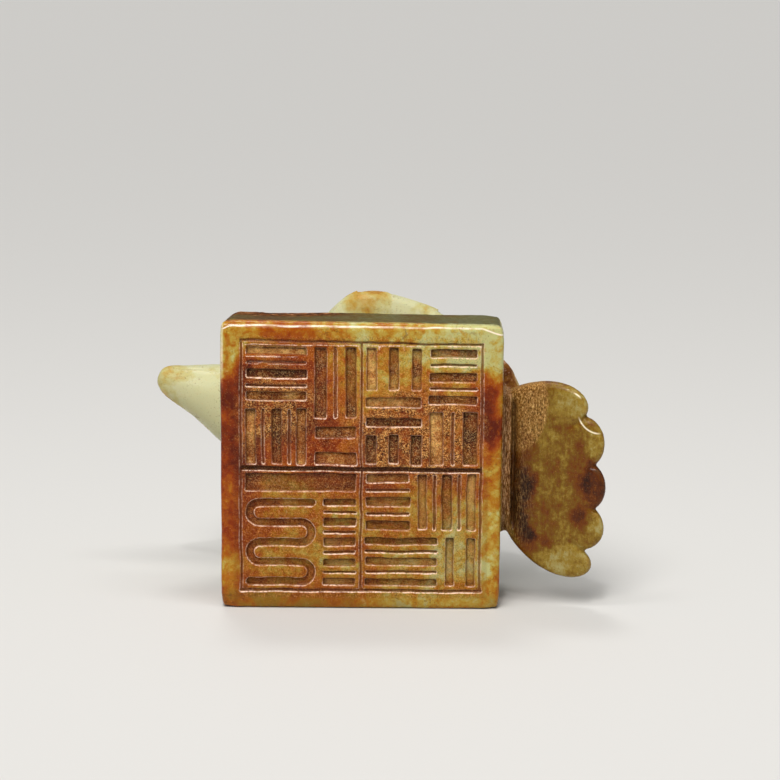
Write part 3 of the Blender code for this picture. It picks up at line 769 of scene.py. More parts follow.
def wing_map(points):
    """Share, across and distance to the wing's skin for each point, both wings alike."""
    rows, columns = SAMPLES_ALONG + 1, SAMPLES_ACROSS + 1
    step = (WING[-1][0] - WING[0][0]) / SAMPLES_ALONG
    places = [
        (WING[0][0] + (WING[-1][0] - WING[0][0]) * i / SAMPLES_ALONG, j / SAMPLES_ACROSS)
        for i in range(rows) for j in range(columns)
    ]
    spots = np.array([wing_point(share, across, SKIN_LIFT, False) for share, across in places])
    tree = KDTree(len(spots))
    for index, spot in enumerate(spots):
        tree.insert(spot, index)
    tree.balance()
    mirrored = points.copy()
    mirrored[:, 2] = np.abs(points[:, 2] - MIDDLE_Z)
    near = (points[:, 1] > BACK_Y + 1.0) & (points[:, 0] > -15)
    picks = np.zeros(len(points), dtype=np.int64)
    apart = np.full(len(points), FAR)
    for index in np.nonzero(near)[0]:
        _, picks[index], apart[index] = tree.find(mirrored[index])
    share, across = np.array(places)[picks].T
    grid = spots.reshape(rows, columns, 3)
    a = np.gradient(grid, axis=0).reshape(-1, 3)[picks]
    b = np.gradient(grid, axis=1).reshape(-1, 3)[picks]
    offset = mirrored - spots[picks]
    share = share + step * np.clip((offset * a).sum(1) / (a * a).sum(1), -1, 1)
    aside = np.clip((offset * b).sum(1) / np.maximum((b * b).sum(1), 1e-6), -1, 1)
    return share, np.clip(across + aside / SAMPLES_ACROSS, 0, 1), apart


def feather_relief(points):
    """Height of quills, barbs and the lines between feathers, and how deep each point lies."""
    share, across, apart = wing_map(points)
    row = np.zeros(len(points), dtype=np.int64)
    for index in range(len(FEATHER_ROWS)):
        row += share > row_end(index, across)
    place = feather_place(across, row)
    first, last = WING[0][0], WING[-1][0]
    mask = fade(apart, 1.0, 1.7) * ease(share, first + 0.02, first + 0.2)
    mask = mask * fade(share, last - 0.10, last - 0.01) * fade(across, 0.90, 0.99)
    part = fade(1 - np.abs(place), 0.05, 0.22)
    quill = bell(place, 0.10)
    barb = np.cos(2 * np.pi * (share * SIDE_X - 1.5 * np.abs(place)) / 0.62)
    parting = np.where(row == len(FEATHER_ROWS), 0.42, 0.30) * part
    height = 0.13 * quill + 0.055 * barb * (1 - quill) * (1 - part) - parting
    return height * mask, part * mask


# The whole skin

def refine(mesh):
    """Cut the skin's faces finer where the carving is fine."""
    bm = bmesh.new()
    bm.from_mesh(mesh)
    face_edges = set()
    bird_edges = set()
    for face in bm.faces:
        centre = face.calc_center_median()
        if centre.y < FACE_Y + 0.3:
            if abs(centre.x) < SIDE_X - 2.0 and 2.0 < centre.z < BLOCK_HEIGHT - 2.0:
                face_edges.update(face.edges)
        elif centre.y > BACK_Y + 5.0 and centre.x > -15:
            bird_edges.update(face.edges)
    bmesh.ops.subdivide_edges(bm, edges=list(face_edges), cuts=FACE_CUTS, use_grid_fill=True)
    bird_edges = [edge for edge in bird_edges if edge.is_valid]
    bmesh.ops.subdivide_edges(bm, edges=bird_edges, cuts=1, use_grid_fill=True)
    bm.to_mesh(mesh)
    bm.free()
    mesh.update()


def worn_hollow(points):
    """Push points out of the long shallow hollow at the back's upper edge."""
    centre = np.array(WEAR_MIDDLE) + (0, WEAR_DEPTH * 0.35, WEAR_DEPTH * 0.75)
    radii = np.array((WEAR_LENGTH / 2, 2 * WEAR_DEPTH, 2 * WEAR_DEPTH))
    offset = (points - centre) / radii
    size = np.linalg.norm(offset, axis=1)
    uneven = 1 + 0.05 * noise(points, 1.6, 4.4) + 0.03 * noise(points, 0.6, 8.8)
    inside = (size < uneven) & (points[:, 1] < BACK_Y + 0.4)
    points[inside] = centre + offset[inside] / size[inside, None] * uneven[inside, None] * radii
    return points


def lifted(height, x, y):
    """The block's top is a little out of true: a height there, and the place in shares of it."""
    across = np.clip((x + SIDE_X) / BLOCK_WIDTH, 0, 1)
    through = np.clip((y + BACK_Y) / BLOCK_DEPTH, 0, 1)
    front = TOP_LIFT[0] + (TOP_LIFT[1] - TOP_LIFT[0]) * across
    back = TOP_LIFT[2] + (TOP_LIFT[3] - TOP_LIFT[2]) * across
    return height + front + (back - front) * through, across, through


def wear_block(height, points):
    x, y, z = points.T

    # edges of the block: small nicks and a slightly uneven roundness
    to_x = SIDE_X + BLOCK_FLARE * z / BLOCK_HEIGHT / 2 - np.abs(x)
    to_y = BACK_Y - np.abs(y)
    to_z = np.minimum(z, BLOCK_HEIGHT - z)
    sides = np.sort(np.stack((to_x, to_y, to_z)), axis=0)
    on_block = (sides[0] > -0.3) & (sides[0] < 0.9) & (to_y > -0.3)
    nicks = ease(layered(points, 2.2, 3, 3.3), 0.55, 1.25)
    rear = ease(y, FACE_Y + 2.0, FACE_Y + 5.0)
    uneven = (0.02 + 0.05 * rear) * (1 + noise(points, 1.1, 6.6))
    height -= on_block * fade(sides[1], 0.3, 1.5) * ((0.10 + 0.32 * rear) * nicks + uneven)
    height -= on_block * fade(sides[2], 0.8, 2.6) * (to_z < 3.4) * 0.25

    # worn, pitted patch round the hollow
    along, back, up = ((points - WEAR_MIDDLE) / WEAR_REACH).T
    worn = fade(np.sqrt(along ** 2 + back ** 2 + up ** 2), 0.55, 1.0)
    pits = ease(noise(points, (1.5, 0.8, 0.8), 1.2), 0.05, 0.6)
    pits = pits + 0.6 * ease(noise(points, 0.5, 9.9), 0.2, 0.8)
    height -= worn * (0.17 * pits + 0.05 * (1 + noise(points, 1.9, 8.1)))


def mark_head(height, points, nz):
    """Rings round the eyes, pupils and a mouth line."""
    x, y, _ = points.T
    for side in (1, -1):
        away_x, away_y, away_z = (points - np.array(eye_centre(side))).T
        flat = np.hypot(away_x, away_y)
        facing = ease(side * nz, 0.1, 0.5) * (np.abs(away_z) < 3.2)
        height -= facing * 0.34 * bell(flat - EYE_RADIUS - 0.15, 0.28)
        height -= facing * 0.16 * bell(flat - EYE_RADIUS - 1.15, 0.20) * (flat < 4)
        height -= facing * 0.22 * bell(flat, 0.42)
    forward = 1.0 - (x + SIDE_X) / HEAD_REACH
    tip = ease(forward, 1.36, 1.42) * fade(forward, 1.90, 1.97)
    middle_y = BACK_Y + BIRD_RISE * np.interp(forward, *MOUTH_LINE)
    mouth = bell(y - middle_y - 0.22 * np.sin(x * 1.1), 0.26)
    height -= tip * mouth * 0.20 * ease(np.abs(nz), 0.25, 0.6)


def cover_neck(height, points):
    """Shallow overlapping scales of down on the back and sides."""
    x, y, z = points.T
    neck = ease(x, -27.5, -24.0) * fade(x, -12.5, -8.0) * ease(y, BACK_Y + 6.0, BACK_Y + 11.0)
    around = np.arctan2(z - MIDDLE_Z - 1.8, y - BACK_Y - 12.5) * 6.2
    rank = (x + 30) / DOWN_LENGTH
    u = (around / DOWN_WIDTH + 0.5 * (np.floor(rank) % 2)) % 1.0
    curve = rank % 1.0 - 0.75 * np.sqrt(np.maximum(0, 1 - (2 * u - 1) ** 2))
    height -= neck * 0.13 * bell(curve, 0.13)


def mark_tail(height, points, ny):
    x, y, z = points.T

    # tail: fine radial lines on the bird's side, scratches on the front, a soft lip
    root_x, root_z = SIDE_X - TAIL_ROOT_INSET, MIDDLE_Z - TAIL_SIDE_STEP
    tail = ease(x, SIDE_X + 2.2, SIDE_X + 3.4) * fade(y, BACK_Y - 2.5, BACK_Y - 1.0)
    angle = np.degrees(np.arctan2(z - root_z, x - root_x))
    behind = tail * ease(ny, 0.1, 0.5)
    height += behind * 0.055 * np.cos(angle * 2 * np.pi / 2.3) * ease(x, 28, 33)
    ahead = tail * ease(-ny, 0.1, 0.5)
    scratches = np.minimum(noise(points, (0.35, 3.0, 5.0), 3.7), 0)
    scratches = scratches + 0.5 * np.minimum(noise(points, (0.22, 3.0, 9.0), 8.3), 0)
    height += ahead * 0.07 * scratches
    reach = np.hypot(x - root_x, z - root_z)
    for notch in NOTCH_ANGLES[1:-1]:
        off = np.abs(angle - notch) * reach / DEGREES_PER_RADIAN
        height -= ahead * 0.30 * bell(off, 0.45) * ease(reach, 17.6, 20.0)

    # bar beside the block: upright striations
    from_middle = np.abs(z - (MIDDLE_Z - TAIL_BAR_SIDE_STEP))
    strip = ease(x, SIDE_X + 0.2, SIDE_X + 0.5) * fade(x, SIDE_X + 2.9, SIDE_X + 3.4)
    strip = strip * (from_middle < TAIL_BAR_HEIGHT / 2) * (ny < 0.3) * (y < BACK_Y)
    height += strip * 0.16 * noise(points, (0.42, 2.0, 6.0), 2.9)


def dress(points, normals):
    """Move every point of the skin to its carved place."""
    x, y, z = points.T
    ny = normals[:, 1]
    moved = points.copy()
    front = (y < FACE_Y + 0.25) & (ny < -0.6) & (np.abs(x) < SIDE_X + 0.5)
    calm = np.where(front, 0.3, 1.0)
    height = calm * (0.05 * noise(points, 7.0, 2.0) + 0.03 * noise(points, 2.8, 5.0))

    # the block's top is a little out of true, its sides are full, and the head hangs lower
    over = ease(z, 40.0, 50.0) * fade(y, BACK_Y + 0.2, BACK_Y + 2.0) * (np.abs(x) < SIDE_X + 0.8)
    moved[:, 2] += over * lifted(0.0, x, y)[0]
    on_side = (y < BACK_Y + 0.3) & (np.abs(x) < SIDE_X + 0.8)
    moved[:, 0] += on_side * np.sign(x) * SIDE_FILL * ease(np.abs(x), SIDE_X - 3.0, SIDE_X)
    drop = fade(x, -31.0, -26.0)
    moved[:, 2] -= HEAD_DROP * drop
    moved[:, 0] += 0.5 * HEAD_DROP * drop

    wear_block(height, points)
    mark_head(height, points, normals[:, 2])
    cover_neck(height, points)
    height += feather_relief(points)[0]
    mark_tail(height, points, ny)
    moved += normals * height[:, None]

    # the crevice along the bar, and the strokes on the face
    crack_x = SIDE_X + TAIL_BAR_WIDTH + 0.12 * noise(points, 2.5, 7.7)
    crack = bell(x - crack_x, 0.62 * CREVICE_WIDTH)
    from_middle = np.abs(z - (MIDDLE_Z - TAIL_BAR_SIDE_STEP))
    crack = crack * fade(from_middle, CREVICE_HEIGHT / 2 - 2.5, CREVICE_HEIGHT / 2)
    moved[:, 1] += crack * (y < 1.6) * (ny < 0.2) * CREVICE_DEPTH
    moved[front, 1] += carving(points[front])[0]
    moved = round_top(worn_hollow(moved))
    moved[:, 2] = np.maximum(moved[:, 2], 0.0)
    return moved


def rounded(first, second, radius):
    """How far to move in from two flat sides so that the edge between them is round."""
    gap = np.hypot(radius - first, radius - second)
    outside = (first < radius) & (second < radius) & (gap > radius)
    pull = np.where(outside, 1 - radius / np.maximum(gap, 1e-6), 0.0)
    return pull * (radius - first), pull * (radius - second)


def round_top(points):
    """Wear the edges of the block's top round, most of all at its front left."""
    x, y, z = points.T
    top, across, through = lifted(BLOCK_HEIGHT, x, y)
    side = SIDE_X + BLOCK_FLARE / 2 + SIDE_FILL
    block = (y < BACK_Y + 0.2) & (np.abs(x) < side + 0.2)
    radius = TOP_ROUNDING[0] + (TOP_ROUNDING[1] - TOP_ROUNDING[0]) * across
    in_y, down = rounded(y - FACE_Y, top - z, radius)
    moved = points.copy()
    moved[:, 1] += block * in_y
    moved[:, 2] -= block * down
    for sign in (1, -1):
        radius = SIDE_ROUNDING * (1 + 1.3 * through * (sign < 0))
        in_x, down = rounded(side - sign * moved[:, 0], top - moved[:, 2], radius)
        moved[:, 0] -= sign * block * in_x
        moved[:, 2] -= block * down
    return moved


def limited(points):
    """Keep the skin inside the box of the solid model."""
    low = np.array(CAD_BOX[0]) / TO_METRES
    high = np.array(CAD_BOX[1]) / TO_METRES
    return np.clip(points, low, high)


def make_seal():
    mesh = joined_body()
    points = read(mesh.vertices, "co", 3)
    x, y, z = points.T
    blocky = ((np.abs(y) < BACK_Y - 0.2) | (y < 0)) & (np.abs(x) < SIDE_X + 0.3)
    edges = read(mesh.edges, "vertices", 2, np.int64)
    write_points(mesh, relax(points, edges, np.where(blocky, 0.15, 0.5), 2))
    refine(mesh)
    normals = read(mesh.vertices, "normal", 3)
    write_points(mesh, limited(dress(read(mesh.vertices, "co", 3), normals)))
    made = linked("jade_seal_carving", mesh)
    triangulate = made.modifiers.new("triangles", 'TRIANGULATE')
    triangulate.quad_method = 'SHORTEST_DIAGONAL'
    count = sum(len(polygon.vertices) - 2 for polygon in mesh.polygons)
    if count > MOST_TRIANGLES:
        fewer = made.modifiers.new("fewer", 'DECIMATE')
        fewer.ratio = MOST_TRIANGLES / count
    fewest = applied(made)
    made.modifiers.clear()
    made.data = fewest
    points = limited(read(fewest.vertices, "co", 3))
    front = (points[:, 1] < FACE_Y + 1.7) & (np.abs(points[:, 0]) < SIDE_X - 1.5)
    marks = np.zeros((5, len(points)))
    marks[0] = feather_relief(points)[1]
    marks[4] = 0.5
    marks[1:, front] = carving(points[front])[1:]
    for name, values in zip(("parting", "rim", "chalk_and_highlight", "shade", "tone"), marks):
        layer = fewest.attributes.new(name, 'FLOAT', 'POINT')
        layer.data.foreach_set("value", values.astype(np.float32))
    write_points(fewest, points * TO_METRES)
    fewest.polygons.foreach_set("use_smooth", np.ones(len(fewest.polygons), dtype=bool))
    fewest.set_sharp_from_angle(angle=math.radians(SHARP_DEGREES))
    weigh = made.modifiers.new("weigh", 'WEIGHTED_NORMAL')
    weigh.keep_sharp = True
    final = applied(made)
    made.modifiers.clear()
    made.data = final
    bpy.data.meshes.remove(mesh)
    bpy.data.meshes.remove(fewest)
    final.name = "jade_seal_carving"
    print("seal:", len(final.vertices), "points", len(final.polygons), "triangles, from", count)
    return made


# Material

def srgb(red, green, blue):
    values = []
    for value in (red, green, blue):
        value /= 255
        values.append(value / 12.92 if value <= 0.04045 else ((value + 0.055) / 1.055) ** 2.4)
    return (*values, 1.0)


class Value:
    """One output of a shader node; arithmetic on it makes more nodes."""

    def __init__(self, graph, socket):
        self.graph = graph
        self.socket = socket

    def __add__(self, other):
        return self.graph.math('ADD', self, other)

    def __sub__(self, other):
        return self.graph.math('SUBTRACT', self, other)

    def __rsub__(self, other):
        return self.graph.math('SUBTRACT', other, self)

    def __mul__(self, other):
        return self.graph.math('MULTIPLY', self, other)

    def __abs__(self):
        return self.graph.math('ABSOLUTE', self)

    def __lt__(self, other):
        return self.graph.math('LESS_THAN', self, other)

    def __gt__(self, other):
        return self.graph.math('GREATER_THAN', self, other)


class Vector(Value):
    """The same for a vector, which a tuple multiplies by axis and a number scales."""

    def __add__(self, other):
        return self.graph.vector('ADD', {0: self, 1: other})

    def __sub__(self, other):
        return self.graph.vector('SUBTRACT', {0: self, 1: other})

    def __mul__(self, other):
        if isinstance(other, tuple):
            return self.graph.vector('MULTIPLY', {0: self, 1: other})
        return self.graph.vector('SCALE', {0: self, 'Scale': other})

    def length(self):
        return self.graph.vector('LENGTH', {0: self}, 'Value', Value)


class Graph:
    """The jade's shader: short names for making nodes, and the places that all patterns share."""

    def __init__(self, material):
        self.tree = material.node_tree
        straight = self.output('ShaderNodeTexCoord', 'Object', Vector) * (1 / TO_METRES)
        self.places = {"straight": straight}
        half = (0.5, 0.5, 0.5)
        swirl = (self.noise(0.10, 5.0, 0.55, kind=Vector) - half) * 17.0
        self.fine_swirl = (self.noise(0.6, 4.0, 0.6, kind=Vector) - half) * 2.2
        self.places["ragged"] = straight + self.fine_swirl
        self.places["warped"] = straight + swirl + self.fine_swirl
        self.x, self.y, self.z = self.axes(straight)

    def put(self, socket, value):
        if isinstance(value, Value):
            self.tree.links.new(value.socket, socket)
        else:
            socket.default_value = value

    def node(self, kind, inputs=(), **settings):
        made = self.tree.nodes.new(kind)
        for name, value in settings.items():
            setattr(made, name, value)
        for name, value in dict(inputs).items():
            self.put(made.inputs[name], value)
        return made

    def output(self, kind, name, result=Value, inputs=(), **settings):
        return result(self, self.node(kind, inputs, **settings).outputs[name])

    def math(self, operation, *values):
        return self.output('ShaderNodeMath', 0, inputs=enumerate(values), operation=operation)

    def vector(self, operation, inputs, name='Vector', result=Vector):
        return self.output('ShaderNodeVectorMath', name, result, inputs, operation=operation)

    def axes(self, vector):
        split = self.node('ShaderNodeSeparateXYZ', {0: vector})
        return [Value(self, socket) for socket in split.outputs]

    def attribute(self, name):
        return self.output('ShaderNodeAttribute', 'Fac', attribute_name=name)

    def noise(self, scale, detail=3.0, rough=0.5, distortion=0.0, place=None, kind=Value):
        return self.output('ShaderNodeTexNoise', 'Fac' if kind is Value else 'Color', kind, {
            'Vector': place or self.places["straight"], 'Scale': scale, 'Detail': detail,
            'Roughness': rough, 'Distortion': distortion,
        })

    def cells(self, place, scale):
        """Small cells, each with its own value from 0 to 1."""
        inputs = {'Vector': place, 'Scale': scale}
        cell = self.output('ShaderNodeTexVoronoi', 'Color', inputs=inputs)
        return self.output('ShaderNodeSeparateColor', 0, inputs={0: cell})

    def ease(self, value, low, high, start=0.0, end=1.0):
        return self.output('ShaderNodeMapRange', 'Result', inputs={
            'Value': value, 'From Min': low, 'From Max': high, 'To Min': start, 'To Max': end,
        }, interpolation_type='SMOOTHSTEP')

    def fade(self, value, low, high):
        return self.ease(value, low, high, 1.0, 0.0)

    def most(self, a, b):
        return self.math('MAXIMUM', a, b)

    def tint(self, colour, *layers):
        """Lay colours over a colour, each by its amount."""
        for amount, over in layers:
            if isinstance(over, tuple):
                over = srgb(*over)
            inputs = {0: amount, 6: colour, 7: over}
            colour = self.output('ShaderNodeMix', 2, inputs=inputs, data_type='RGBA')
        return colour

    def ramp(self, value, *stops):
        """A colour ramp; each stop is its place, red, green and blue."""
        made = self.node('ShaderNodeValToRGB', {0: value})
        elements = made.color_ramp.elements
        while len(elements) < len(stops):
            elements.new(0.5)
        for element, (place, *colour) in zip(elements, stops):
            element.position = place
            element.color = srgb(*colour)
        return Value(self, made.outputs[0])

    def blob(self, pattern, centre, radii, inner):
        """1 in the middle of an ellipsoid, 0 outside it."""
        moved = self.places[pattern] - centre
        return self.fade((moved * tuple(1 / radius for radius in radii)).length(), inner, 1.0)

    def stained(self, start, rows):
        """Add blobs, each by its strength, to a value."""
        for *blob, strength in rows:
            start = start + self.blob(*blob) * strength
        return start

    def arc(self, centre_x, centre_z, radius):
        """A thin round painted highlight line on the tail's front."""
        moved = self.places["straight"] - (centre_x, 0.0, centre_z)
        off = abs((moved * (1.0, 0.0, 1.0)).length() - radius)
        normal = self.output('ShaderNodeNewGeometry', 'Normal', Vector)
        return self.fade(off, 0.05, 0.20) * (self.axes(normal)[1] < -0.1)


def bird_colour(g):
    """Pale celadon with yellow-brown stains, and painted glints at the wing's rear end."""
    stain = (g.noise(0.13, 6.0, 0.6, 0.9) - 0.5) * 1.7
    stain = stain + (g.noise(0.8, 5.0, 0.6, 0.3) - 0.5) * 0.5 + 0.10
    colour = g.ramp(
        g.stained(stain, BIRD_STAINS),
        (0.00, 192, 190, 148), (0.25, 182, 172, 112), (0.45, 174, 140, 62),
        (0.65, 150, 98, 36), (0.85, 104, 54, 18), (1.00, 62, 28, 10),
    )
    # painted glints at the wing's rear end
    wing_glints = g.ease(g.noise(1.3, 5.0, 0.7), 0.52, 0.66)
    wing_glints = wing_glints * g.blob("straight", (25.5, 10, 41), (4.5, 14, 8), 0.5)
    return g.tint(colour, (wing_glints * 0.7, (216, 172, 136)))


def tail_colour(g, tan):
    """Brown to olive, with a tan upper lobe, a streaked bar and painted highlights along two rims."""
    place = g.places["straight"]
    stain = (g.noise(0.2, 5.0, 0.6, 0.4) - 0.5) * 0.85
    stain = stain + (g.noise(0.9, 6.0, 0.72, 0.3) - 0.5) * 0.85
    stain = stain + (g.noise(2.4, 4.0, 0.6, place=place * (1.0, 1.0, 0.25)) - 0.5) * 0.30 + 0.42
    colour = g.ramp(
        g.stained(stain, TAIL_STAINS),
        (0.00, 162, 152, 98), (0.22, 144, 118, 44), (0.42, 112, 78, 16),
        (0.60, 106, 54, 8), (0.80, 80, 36, 9), (1.00, 40, 17, 7),
    )
    streaks = g.noise(5.0, 4.0, 0.7, place=place * (1.0, 1.0, 0.22))
    dark_side = g.blob("ragged", (27.0, -2, 19), (4.6, 9, 15), 0.4)
    dark_colour = g.ramp(streaks, (0.40, 26, 12, 5), (0.52, 78, 50, 22), (0.64, 150, 118, 72))
    tan_colour = g.ramp(
        g.noise(4.2, 4.0, 0.75, place=place * (1.0, 1.0, 0.5)),
        (0.36, 44, 22, 8), (0.45, 112, 74, 30), (0.55, 164, 120, 60), (0.66, 234, 192, 126),
    )
    tan_shadow = g.blob("ragged", (26.0, -3, 30.0), (4.0, 30, 5.0), 0.3)
    tan_colour = g.tint(tan_colour, (tan_shadow * 0.5, (84, 54, 26)))
    bar_end = SIDE_X + TAIL_BAR_WIDTH
    bar = g.fade(g.x, bar_end - 0.7, bar_end - 0.3) * g.ease(g.z, 12.0, 20.0, 0.25, 0.85)
    bar_colour = g.ramp(streaks, (0.38, 84, 48, 22), (0.50, 152, 104, 58), (0.62, 230, 186, 136))
    # painted highlights along the rims of the two upper lobes
    low_rim_highlight = g.fade(g.z, 33.6, 34.8) * g.fade(g.x, 41.2, 42.6) * g.arc(42.05, 35.5, 3.72)
    high_rim_highlight = g.ease(g.x, 37.3, 38.0) * g.fade(g.x, 38.3, 39.0) * (g.z > 36.8)
    high_rim_highlight = high_rim_highlight * g.arc(35.95, 35.1, 4.0)
    return g.tint(
        colour,
        (dark_side * 0.62, dark_colour),
        (tan * 0.85, tan_colour),
        (bar, bar_colour),
        (g.most(low_rim_highlight, high_rim_highlight) * 0.8, (255, 244, 214)),
    )


def painted_edge_highlight(g):
    """The painted highlight along the face's upper edge and down its left one."""
    x, y, z = g.x, g.y, g.z
    line_z = x * -0.0065 + (BLOCK_HEIGHT - 0.30)
    line_z = line_z - g.ease(x, 20.5, 24.8, 0.0, 1.1) - g.ease(x, -24.9, -22.9, 0.7, 0.0)
    line_z = line_z + (g.noise(0.22, 2.0) - 0.5) * 0.55
    upper = g.fade(abs(z - line_z), 0.04, 0.22) * (y < FACE_Y + 1.2)
    left = g.fade(x, -SIDE_X - 0.05, -SIDE_X + 0.25) * g.ease(z, 38.0, 46.0, 0.0, 0.6)
    broken = g.ease(g.noise(0.34, 4.0, 0.6), 0.38, 0.60, 0.22, 0.9)
    return g.most(upper, left * (y < FACE_Y + 0.9)) * broken


def new_material(name):
    material = bpy.data.materials.new(name)
    material.use_nodes = True
    return material, material.node_tree.nodes["Principled BSDF"]


def jade_material():
    material, shader = new_material("carved jade")
    g = Graph(material)
    x, y, z = g.x, g.y, g.z
    place = g.places["straight"]

    # the block's stains
    clouds = g.noise(0.16, 6.0, 0.62, 0.8)
    mottle = g.noise(0.75, 5.0, 0.65, 0.4)
    stain = g.stained((clouds - 0.5) * 1.25 + (mottle - 0.5) * 0.8 + 0.30, BLOCK_STAINS)
    # painted shade: darker olive along the bottom of the block
    low_rim_shade = g.fade(g.axes(g.places["ragged"])[2], 1.6, 4.4)
    low_rim_shade = low_rim_shade * g.ease(clouds, 0.40, 0.60, 0.8, 0.35) * g.ease(x, 0.0, 14.0, 1.0, 0.55)
    orange = g.ease(g.noise(0.42, 5.0, 0.6, 1.2), 0.54, 0.70)
    pale = g.ease(g.noise(0.55, 4.0, 0.6, 0.5), 0.60, 0.74)
    block_colour = g.tint(
        g.ramp(
            stain,
            (0.00, 184, 182, 120), (0.16, 178, 152, 62), (0.32, 168, 114, 24),
            (0.50, 156, 78, 6), (0.72, 130, 46, 2), (1.00, 88, 24, 1),
        ),
        # painted shade along the bottom of the block
        (low_rim_shade, (122, 90, 24)),
        (orange * 0.40, (168, 84, 14)),
        (pale * g.ease(stain, 0.35, 0.60, 0.40, 0.0), (198, 182, 112)),
    )

    # where the face is, and how deep it is cut there
    depth = y - FACE_Y
    in_x = g.fade(abs(x), SIDE_X - 2.2, SIDE_X - 1.8)
    in_z = g.fade(abs(z - BLOCK_HEIGHT / 2), 23.3, 23.7)
    on_front = in_x * in_z * (y < FACE_Y + 1.7)
    floor = on_front * g.ease(depth, 0.50, 0.78)
    # painted shade on the strokes' walls
    wall_shade = on_front * g.ease(depth, 0.10, 0.30) * g.ease(depth, 0.45, 0.85, 1.0, 0.25)
    line_part = on_front * g.ease(depth, 0.16, 0.34) * g.fade(depth, 0.50, 0.72)
    divider = on_front * g.fade(abs(z - face_lines()[4]), 0.35, 0.8)
    in_fields = on_front * g.ease(abs(x), SIDE_X - 4.0, SIDE_X - 3.0, 1.0, 0.25)

    # rough zones and tan floors, both with small light and dark crumbs
    crumb = g.cells(place + g.fine_swirl * 0.3, 6.4)
    light_crumb = g.ease(crumb, 0.68, 0.80, 0.0, 0.90)
    dark_crumb = g.ease(crumb, 0.22, 0.34, 0.95, 0.0)
    rough_zone = on_front * g.ease(g.noise(0.42, 4.0, 0.65), 0.36, 0.56, 0.15, 1.0)
    rough_zone = rough_zone * g.most(
        g.blob("warped", (9, -7, 31), (15, ANY, 10), 0.45),
        g.blob("warped", (-14, -7, 36), (9, ANY, 9), 0.35),
    )
    rough_colour = g.tint(
        g.ramp(
            g.noise(0.9, 4.0, 0.6),
            (0.38, 92, 42, 8), (0.50, 138, 76, 20), (0.62, 178, 110, 38),
        ),
        (light_crumb, (238, 182, 106)),
        (dark_crumb, (26, 10, 4)),
    )
    floor_tone = g.noise(2.2, 5.0, 0.75) * 0.6 + g.noise(0.30, 2.0, 0.5) * 0.5
    floor_tone = floor_tone + g.attribute("tone") * 0.40 - 0.24 - stain * 0.16
    floor_colour = g.tint(
        g.ramp(
            floor_tone,
            (0.22, 50, 18, 5), (0.37, 116, 52, 15), (0.50, 184, 106, 38), (0.64, 250, 200, 116),
        ),
        (dark_crumb * 0.36, (58, 24, 8)),
        (light_crumb * 0.4, (250, 206, 140)),
    )
    floor_share = g.ease(z, 18.0, 30.0, 0.45, 0.95)
    floor_share = floor_share * g.ease(g.noise(0.28, 2.0, 0.5), 0.38, 0.62, 0.45, 1.0)

    # chalk and painted highlight on the strokes' rims, brightest on the lower rims, broken up
    rim_chalk_and_highlight = g.attribute("chalk_and_highlight") * g.ease(g.attribute("rim"), 0.50, 0.95)
    rim_chalk_and_highlight = rim_chalk_and_highlight * g.ease(g.noise(2.3, 4.0, 0.75), 0.40, 0.56, 0.06, 1.0)
    rim_chalk_and_highlight = rim_chalk_and_highlight * g.ease(g.noise(0.55, 2.0, 0.5), 0.36, 0.58, 0.30, 1.0)

    # the block's top, duller and greener, and its worn patch, brown and pitted with painted glints
    ragged_y = y + (mottle - 0.5) * 3.0
    top = g.ease(z, BLOCK_HEIGHT - 0.9, BLOCK_HEIGHT - 0.2)
    top = top * g.ease(ragged_y, FACE_Y + 1.2, FACE_Y + 2.8)
    worn_middle = (-SIDE_X + WEAR_FROM_SIDE + 1.0, BACK_Y, BLOCK_HEIGHT)
    worn = g.blob("ragged", worn_middle, (15, 8.0, 5), 0.7)
    worn_and_glint_colour = g.ramp(
        g.noise(0.95, 5.0, 0.7, place=place * (0.7, 1.0, 1.0)),
        (0.40, 20, 8, 3), (0.49, 86, 44, 14), (0.57, 112, 66, 26), (0.67, 190, 138, 98),
    )

    # bird and tail
    is_bird = g.ease(y, BACK_Y - 0.2, BACK_Y + 0.6)
    is_bird = g.most(is_bird, g.fade(x, -SIDE_X - 1.2, -SIDE_X - 0.6))
    is_tail = g.ease(x, SIDE_X + 0.35, SIDE_X + 0.8) * g.fade(y, BACK_Y - 0.8, BACK_Y + 1.4)
    tan = g.blob("straight", (28.0, -3, 36.5), (5.4, 30, 9.4), 0.86)

    # dust, painted shade in hollows, painted highlights on ridges, speckle, painted glints and veins
    dust = g.noise(5.5, 3.0, 0.7)
    shape = g.output('ShaderNodeNewGeometry', 'Pointiness')
    # painted shade in hollows, from pointiness
    hollow = g.fade(shape, 0.42, 0.49)
    ridge_highlight = g.ease(shape, 0.52, 0.60) * (1.0 - on_front)
    specks = g.ease(g.noise(2.9, 3.0, 0.7), 0.58, 0.70)
    speckled = specks * g.ease(g.noise(0.25, 3.0), 0.40, 0.60, 0.15, 0.60)
    glints = g.ease(g.noise(3.4, 3.0, 0.7, 0.2), 0.60, 0.70)
    vein = g.fade(abs(g.noise(0.14, 3.0, 0.5, 0.6, g.places["warped"]) - 0.5), 0.0, 0.012)
    vein = vein * g.ease(g.noise(0.2, 2.0), 0.50, 0.62)

